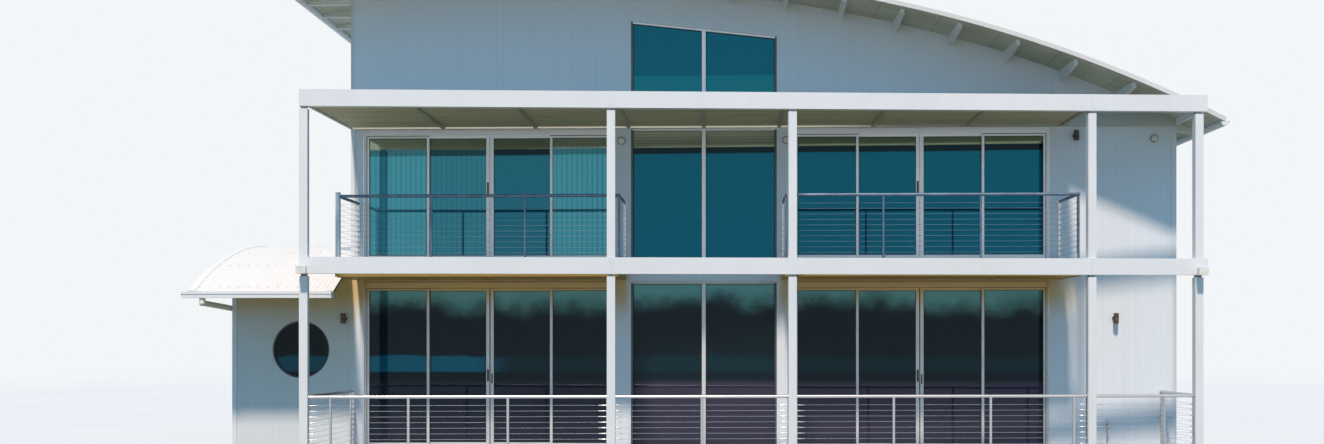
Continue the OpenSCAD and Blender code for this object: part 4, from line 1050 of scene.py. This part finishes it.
def pull_handle(p, x, y, z):
    """An outside pull on its plate; y is the face it stands on."""
    half = 0.065
    p.box((x - 0.014, y - 0.004, z - half - 0.03), (x + 0.014, y, z + half + 0.03), 0, 0.0015)
    bow = [(x, y - 0.003, z - half), (x, y - 0.016, z - half + 0.004), (x, y - 0.020, z - half + 0.02)]
    bow += [(a, b, 2 * z - c) for a, b, c in reversed(bow)]
    p.tube(bow, 0.0075)
    screw = [(0.009, 0), (0.009, 0.006), (0.007, 0.007)]
    p.lathe(screw, (x, y - 0.003, z - half - 0.018), OUT, 0, 16, False)


def glazing_gaskets():
    p = Piece()
    for (z0, head), panels in zip(STOREYS, ((0, 3), (0, 1, 2, 3))):
        top = head - HEAD_BAR
        for centre in DOOR_CENTRES:
            for i in panels:
                outer = i in (0, 3)
                track = OUTER_TRACK if outer else UPPER_TRACK
                panel_gasket(p, centre, i, z0 + SILL + BOTTOM_RAIL, top - STILE, track)
                if outer:
                    x0, x1 = panel_edges(centre, i)
                    jamb = (x0, x0 + RUBBER_W) if i == 0 else (x1 - RUBBER_W, x1)
                    p.box((x0, track - 0.004, top - 0.010), (x1, track, top))
                    p.box((jamb[0], track - 0.004, z0 + 0.046), (jamb[1], track, top - 0.010))
        for x0, x1 in WINDOW_PANES:
            gasket(p, x0, x1, z0 + BAR, head - BAR, FRAME_Y + 0.055)
    low = GABLE_Z + BAR
    for x0, x1 in WINDOW_PANES:
        for y0, y1 in ((FRAME_Y + 0.049, FRAME_Y + 0.056), (FRAME_Y + 0.064, FRAME_Y + 0.071)):
            p.box((x0, y0, low), (x1, y1, low + RUBBER_W))
            for x in (x0, x1 - RUBBER_W):
                p.box((x, y0, low), (x + RUBBER_W, y1, gable_top(x) - 0.001))
            ring = [(x, gable_top(x)) for x in (x0, x1)]
            ring += [(x, z - RUBBER_W) for x, z in reversed(ring)]
            p.bar([[(x, y, z) for x, z in ring] for y in (y0, y1)])
    for centre, floor in BACK_WINDOWS:
        z0, z1 = floor + BACK_SILL + BAR, floor + BACK_HEAD - BAR
        x0, x3 = centre - BACK_HALF + BAR, centre + BACK_HALF - BAR
        for x1, x2 in ((x0, centre - 0.025), (centre + 0.025, x3)):
            gasket(p, x1, x2, z0, z1, BACK - 0.04 - 0.055)
    p.make("glazing_gaskets", [RUBBER], "dark_fittings")


def door_fittings():
    pull_z = 1.21
    for side, centre in zip(("left", "right"), DOOR_CENTRES):
        for letter, i in (("a", 1), ("b", 2)):
            p, body = Piece(), f"{side}_leaf_{letter}"
            x0, x1 = panel_edges(centre, i)
            low, high = GROUND_Z + SILL + RUN_GAP + BOTTOM_RAIL, GROUND_HEAD - HEAD_BAR - RUN_GAP - STILE
            panel_gasket(p, centre, i, low, high, INNER_TRACK)
            if letter == "a":
                pull_handle(p, x1 - MEETING / 2, INNER_TRACK, GROUND_Z + pull_z)
            else:
                x, y = x0 + MEETING / 2, INNER_TRACK
                p.box((x - 0.011, y - 0.002, GROUND_Z + 1.08), (x + 0.011, y, GROUND_Z + 1.24), 0, 0.001)
            x = x1 - 0.006 if letter == "a" else x0 + 0.001
            brush = (x, INNER_TRACK - 0.0012, GROUND_Z + 0.06)
            p.box(brush, (x + 0.005, INNER_TRACK, GROUND_HEAD - 0.11))
            p.make(f"{body}_fittings", [RUBBER], "dark_fittings", body=body)
    p = Piece()
    for centre in DOOR_CENTRES:
        pull_handle(p, panel_edges(centre, 1)[1] - MEETING / 2, UPPER_TRACK, UPPER_Z + pull_z)
    p.make("upper_door_handles", [RUBBER], "dark_fittings")


def flashing(p, x0, x1, head):
    """A folded strip over the head of an opening in the front."""
    p.box((x0 - 0.02, FRONT - 0.012, head), (x1 + 0.02, FRONT + 0.03, head + 0.006), 0, 0.001)
    p.box((x0 - 0.02, FRONT - 0.012, head - 0.012), (x1 + 0.02, FRONT - 0.009, head + 0.006))


def window_trims():
    p = Piece()
    for z0, head in STOREYS:
        for centre in DOOR_CENTRES:
            x0, x1 = centre - DOOR_W / 2, centre + DOOR_W / 2
            for y in (OUTER_TRACK - 0.006, INNER_TRACK + PANEL_D + 0.002):
                p.box((x0 + BAR, y, z0 + SILL), (x1 - BAR, y + 0.003, z0 + SILL + RUN_GAP))
            flashing(p, x0, x1, head)
            for x in (x0 - 0.014, x1 - 0.004):
                p.box((x, FRONT - 0.006, z0 + 0.001), (x + 0.018, FRONT + 0.03, head), 0, 0.001)
        x0, x1 = WINDOW_X
        p.box((x0 - 0.01, FRONT - 0.02, z0 - 0.004), (x1 + 0.01, FRONT + 0.03, z0 + 0.004), 0, 0.001)
        flashing(p, x0, x1, head)
    for x, floor in BACK_WINDOWS:
        for z, deep in ((floor + BACK_SILL, 0.035), (floor + BACK_HEAD, 0.016)):
            p.box((x - 0.93, BACK - 0.04, z - 0.006), (x + 0.93, BACK + deep, z + 0.006), 0, 0.002)
    p.make("window_trims", [ALU], "window_aluminium")


# Blinds behind the glass


def blinds():
    p = Piece()
    left, y = DOOR_CENTRES[0] - DOOR_W / 2 + BAR, -3.93
    turn, half, lip, thick = math.radians(32), 0.0445, 0.004, 0.0012
    c, s = half * math.cos(turn), half * math.sin(turn)
    face = [(-c, -s), (0, -lip), (c, s)]
    vane = face + [(a, b + thick) for a, b in reversed(face)]
    for x, x1, pitch in ((left + 0.03, left + 1.93, 0.080), (left + 2.98, left + 3.87, 0.078)):
        p.box((x - 0.02, y - 0.02, 5.47), (x1 + 0.02, y + 0.02, 5.51), 1, 0.002)
        while x < x1:
            p.bar([[(x + a, y + b, z) for a, b in vane] for z in (3.49, 5.465)])
            x += pitch
    p.make("vertical_blinds", [BLIND, ALU], "white_fittings")
    s = Piece()
    for x, floor in BACK_WINDOWS:
        slat_blind(s, x - 0.84, x + 0.84, floor + 0.96, floor + 2.04, BACK - 0.175)
    s.make("slatted_blinds", [SLATS], "white_fittings")


def slat_blind(p, x0, x1, z0, z1, y):
    """A closed slatted blind with its head rail and foot rail."""
    p.box((x0, y - 0.015, z1 - 0.03), (x1, y + 0.015, z1), 0, 0.002)
    p.box((x0, y - 0.010, z0), (x1, y + 0.010, z0 + 0.014), 0, 0.002)
    slat = [(-0.006, -0.011), (-0.001, 0.001), (0.006, 0.012)]
    slat += [(0.0068, 0.0116), (0.0, 0.0), (-0.0052, -0.0114)]
    z = z0 + 0.025
    while z < z1 - 0.035:
        p.bar([[(x, y + a, z + b) for a, b in slat] for x in (x0, x1)])
        z += 0.0205


# Ceiling of the ground floor, with its lamps


def ceiling():
    p = Piece()
    z = GROUND_HEAD
    x0, x1, y0, y1 = LEFT + WALL, RIGHT - WALL, FRONT + WALL + 0.002, BACK - WALL
    p.box((x0 + 0.001, y0, z - 0.010), (x1 - 0.001, y1, z - 0.0005))
    for y in (y0 + 0.02, y1 - 0.05):
        p.box((x0 + 0.001, y - 0.02, z - 0.055), (x1 - 0.001, y + 0.02, z - 0.010), 0, 0.008)
    lamp = [(0.055, 0), (0.055, 0.006), (0.045, 0.008), (0.040, 0.002)]
    for x in spread(x0 + 1.2, x1 - 1.2, 2.2):
        for y in (-2.6, 0.0, 2.6):
            p.lathe(lamp, (x, y, z - 0.010), (0, 0, -1), 1, 24, False)
    p.make("ground_ceiling", [PLASTER, WHITE], "white_fittings")


# Lights and a tap on the walls


def wall_lamps():
    p = Piece()
    edge = AXIS_X + DOOR_REACH
    body = [(0.030, -0.080), (0.037, -0.082), (0.040, -0.078), (0.040, -0.004), (0.038, -0.002)]
    body += [(r, -h) for r, h in reversed(body)]
    base = [(0.042, 0), (0.042, 0.012), (0.034, 0.020), (0.014, 0.022), (0.014, 0.050)]
    for x, z in (
        (edge + 0.42, UPPER_HEAD - 0.145),
        (edge + 0.52 * (RIGHT - edge), GROUND_HEAD - 0.58),
        (LEFT - 0.105, GROUND_HEAD - 0.58),
    ):
        y = FRONT - 0.080
        p.lathe(body, (x, y, z), UP, 0, 28)
        for up in (-1, 1):
            p.lathe([(0.029, 0.0), (0.027, 0.0015)], (x, y, z + up * 0.0802), (0, 0, up), 1, 24, False)
        p.lathe(base, (x, FRONT, z), OUT, 0, 24, False)
        for dz in (-0.030, 0.030):
            p.bolt((x, FRONT - 0.0118, z + dz), OUT, 0.004, 2)
    p.make("wall_lamps", [BRONZE, LENS, ZINC], "dark_fittings", "wall_lights")


def bulkhead_lights():
    p = Piece()
    z, bolts = UPPER_HEAD - 0.19, 0.059
    rim = [(0.065, 0), (0.065, 0.016), (0.062, 0.022), (0.054, 0.022), (0.052, 0.018)]
    lens = [(0.0525, 0.018), (0.052, 0.030), (0.046, 0.042)]
    lens += [(0.034, 0.051), (0.018, 0.056), (0.004, 0.0575)]
    for x in (AXIS_X - 1.31, AXIS_X + 1.31, RIGHT - 0.345):
        p.lathe(rim, (x, FRONT, z), OUT, 0, 36, False)
        p.lathe(lens, (x, FRONT, z), OUT, 1, 36)
        for k in range(4):
            t = math.pi * k / 2 + math.pi / 4
            p.bolt((x + bolts * math.cos(t), FRONT - 0.022, z + bolts * math.sin(t)), OUT, 0.004, 2)
    p.make("bulkhead_lights", [RIM, LENS, ZINC], "white_fittings", "round_lights")


def floodlights():
    p = Piece()
    y = -BEAM_W / 2
    body = [(0.060, -0.036), (0.150, -0.048), (0.158, -0.044)]
    body += [(0.158, 0.064), (0.150, 0.068), (0.060, 0.056)]
    for x in (COLUMN_X[0], COLUMN_X[4]):
        p.place = along_frame(x, DECK_Z - BEAM_H + 0.04)
        p.box((-0.030, y - 0.006, -0.045), (0.030, y, 0.045), 0, 0.002)
        for dx in (-0.022, 0.016):
            p.box((dx, y - 0.058, -0.018), (dx + 0.006, y - 0.004, 0.018), 0, 0.001)
        p.bolt((0, y - 0.006, 0.030), OUT, 0.006, 2)
        p.bar([[(side, y - a, b) for a, b in body] for side in (-0.066, 0.066)])
        for k in range(7):
            fin = -0.054 + k * 0.018
            p.box((fin - 0.0025, y - 0.060, -0.030), (fin + 0.0025, y - 0.048, 0.050))
        p.box((-0.070, y - 0.160, -0.050), (0.070, y - 0.146, 0.070), 0, 0.003)
        p.box((-0.058, y - 0.1605, -0.038), (0.058, y - 0.158, 0.058), 1)
    p.make("floodlights_detailed", [WHITE, LENS, ZINC], "white_fittings", "floodlights")


def tap():
    p = Piece()
    x, z = 5.466, 0.90
    stem, mouth = FRONT - 0.052, FRONT - 0.110
    p.lathe([(0.026, 0), (0.026, 0.006), (0.012, 0.010), (0.012, 0.05)], (x, FRONT, z), OUT, 0, 20, False)
    body = [(0.015, -0.016), (0.017, 0.0), (0.015, 0.022), (0.010, 0.034), (0.006, 0.055)]
    p.lathe(body, (x, stem, z), UP, 0, 18)
    spout = [(x, stem, z), (x, FRONT - 0.085, z - 0.004)]
    spout += [(x, FRONT - 0.105, z - 0.022), (x, mouth, z - 0.055)]
    p.tube(spout, 0.010, 0, 14)
    p.lathe([(0.013, -0.075), (0.013, -0.055)], (x, mouth, z), UP, 0, 16, False)
    p.tube([(x - 0.032, stem, z + 0.058), (x + 0.032, stem, z + 0.058)], 0.005, 0, 10)
    for k in range(3):
        y, top = FRONT - 0.006, z - 0.03 - 0.14 * k
        p.tube([(x, y + 0.0001 * k, top), (x, y, z - 0.03 - 0.14 * (k + 1))], 0.0095)
    p.make("garden_tap", [ZINC], "railing_steel")


main_roof()
wing_roof()
gutter_fittings()
pipe_clips()
frame_fittings()
ground_railings()
balcony_railings()
balconies()
glazing_gaskets()
door_fittings()
window_trims()
blinds()
ceiling()
wall_lamps()
bulkhead_lights()
floodlights()
tap()


# Camera, sun, world and floor

CAMERA_AT, CAMERA_TURN = (-0.5655, -26.4617, 2.3), 0.0314
LENS_MM, SENSOR_MM, SHIFT = 38.06, 36, (-0.01374, 0.08567)
SUN_POWER, SUN_SPREAD, SUN_COLOUR = 4.4, 4.5, (1.0, 0.80, 0.66)
SUN_FROM = (-0.15, -1.0, 1.65)
FILL, FLOOR_LIT = (0.17, 0.45, 0.74, 1.0), (0.12, 0.125, 0.085, 1.0)
BACKGROUND = srgb(243, 246, 248)
FLOOR_RADII, FLOOR_SIDES = (0.01, 30, 90, 400), 128

scene = bpy.context.scene
camera = bpy.data.objects.new("camera", bpy.data.cameras.new("camera"))
scene.collection.objects.link(camera)
camera.location = CAMERA_AT
camera.rotation_euler = (math.radians(90), 0, CAMERA_TURN)
camera.data.lens, camera.data.sensor_width = LENS_MM, SENSOR_MM
camera.data.shift_x, camera.data.shift_y = SHIFT
camera.data.clip_end = 2000
scene.camera = camera

sun = bpy.data.objects.new("key_light", bpy.data.lights.new("key_light", "SUN"))
sun.data.energy, sun.data.angle, sun.data.color = SUN_POWER, math.radians(SUN_SPREAD), SUN_COLOUR
scene.collection.objects.link(sun)
sun.rotation_euler = Vector(SUN_FROM).to_track_quat("Z", "Y").to_euler()

world = bpy.data.worlds.new("studio")
scene.world = world
world.use_nodes = True
world.node_tree.nodes.clear()
sky = Nodes(world.node_tree)
shown = sky.node("Background", i0=BACKGROUND).outputs[0]
fill = sky.node("Background", i0=FILL).outputs[0]
blend = sky.node("MixShader", i0=sky.seen(), i1=fill, i2=shown).outputs[0]
sky.node("OutputWorld", i0=blend)


def studio_floor():
    """A wide pale disc that fades into the background."""
    n = FLOOR_SIDES
    turns = [math.pi * k / (n // 2) for k in range(n)]
    points = [(r * math.cos(t), r * math.sin(t), -0.004) for r in FLOOR_RADII for t in turns]
    corners = [(i * n + k, i * n + (k + 1) % n) for i in range(len(FLOOR_RADII) - 1) for k in range(n)]
    faces = [(a, a + n, b + n, b) for a, b in corners] + [tuple(range(n))]
    mesh = bpy.data.meshes.new("studio_floor")
    mesh.from_pydata(points, [], faces)
    floor = bpy.data.objects.new("studio_floor", mesh)
    scene.collection.objects.link(floor)
    k = Mat("studio_floor", Roughness=0.9)
    seen = k.seen()
    tint = k.mix(k.patches(0.25, 4, 0.3, 0.7), (203, 204, 204), (198, 200, 200))
    k.base(seen, FLOOR_LIT, tint)
    k.grain(20.0, 0.001, 0.1, 3)
    length = k.node("VectorMath", {"operation": "LENGTH"}, i0=k.at).outputs["Value"]
    glow = k.node("Emission", Color=BACKGROUND, Strength=1.0).outputs[0]
    share = k.most(k.step(length, 22.0, 75.0), k.times(seen, 0.32))
    far = k.node("MixShader", i0=share, i1=k.bsdf.outputs[0], i2=glow).outputs[0]
    k.put(k.t.nodes["Material Output"].inputs[0], far)
    mesh.materials.append(k.done())


studio_floor()
scene.view_settings.view_transform = "Standard"
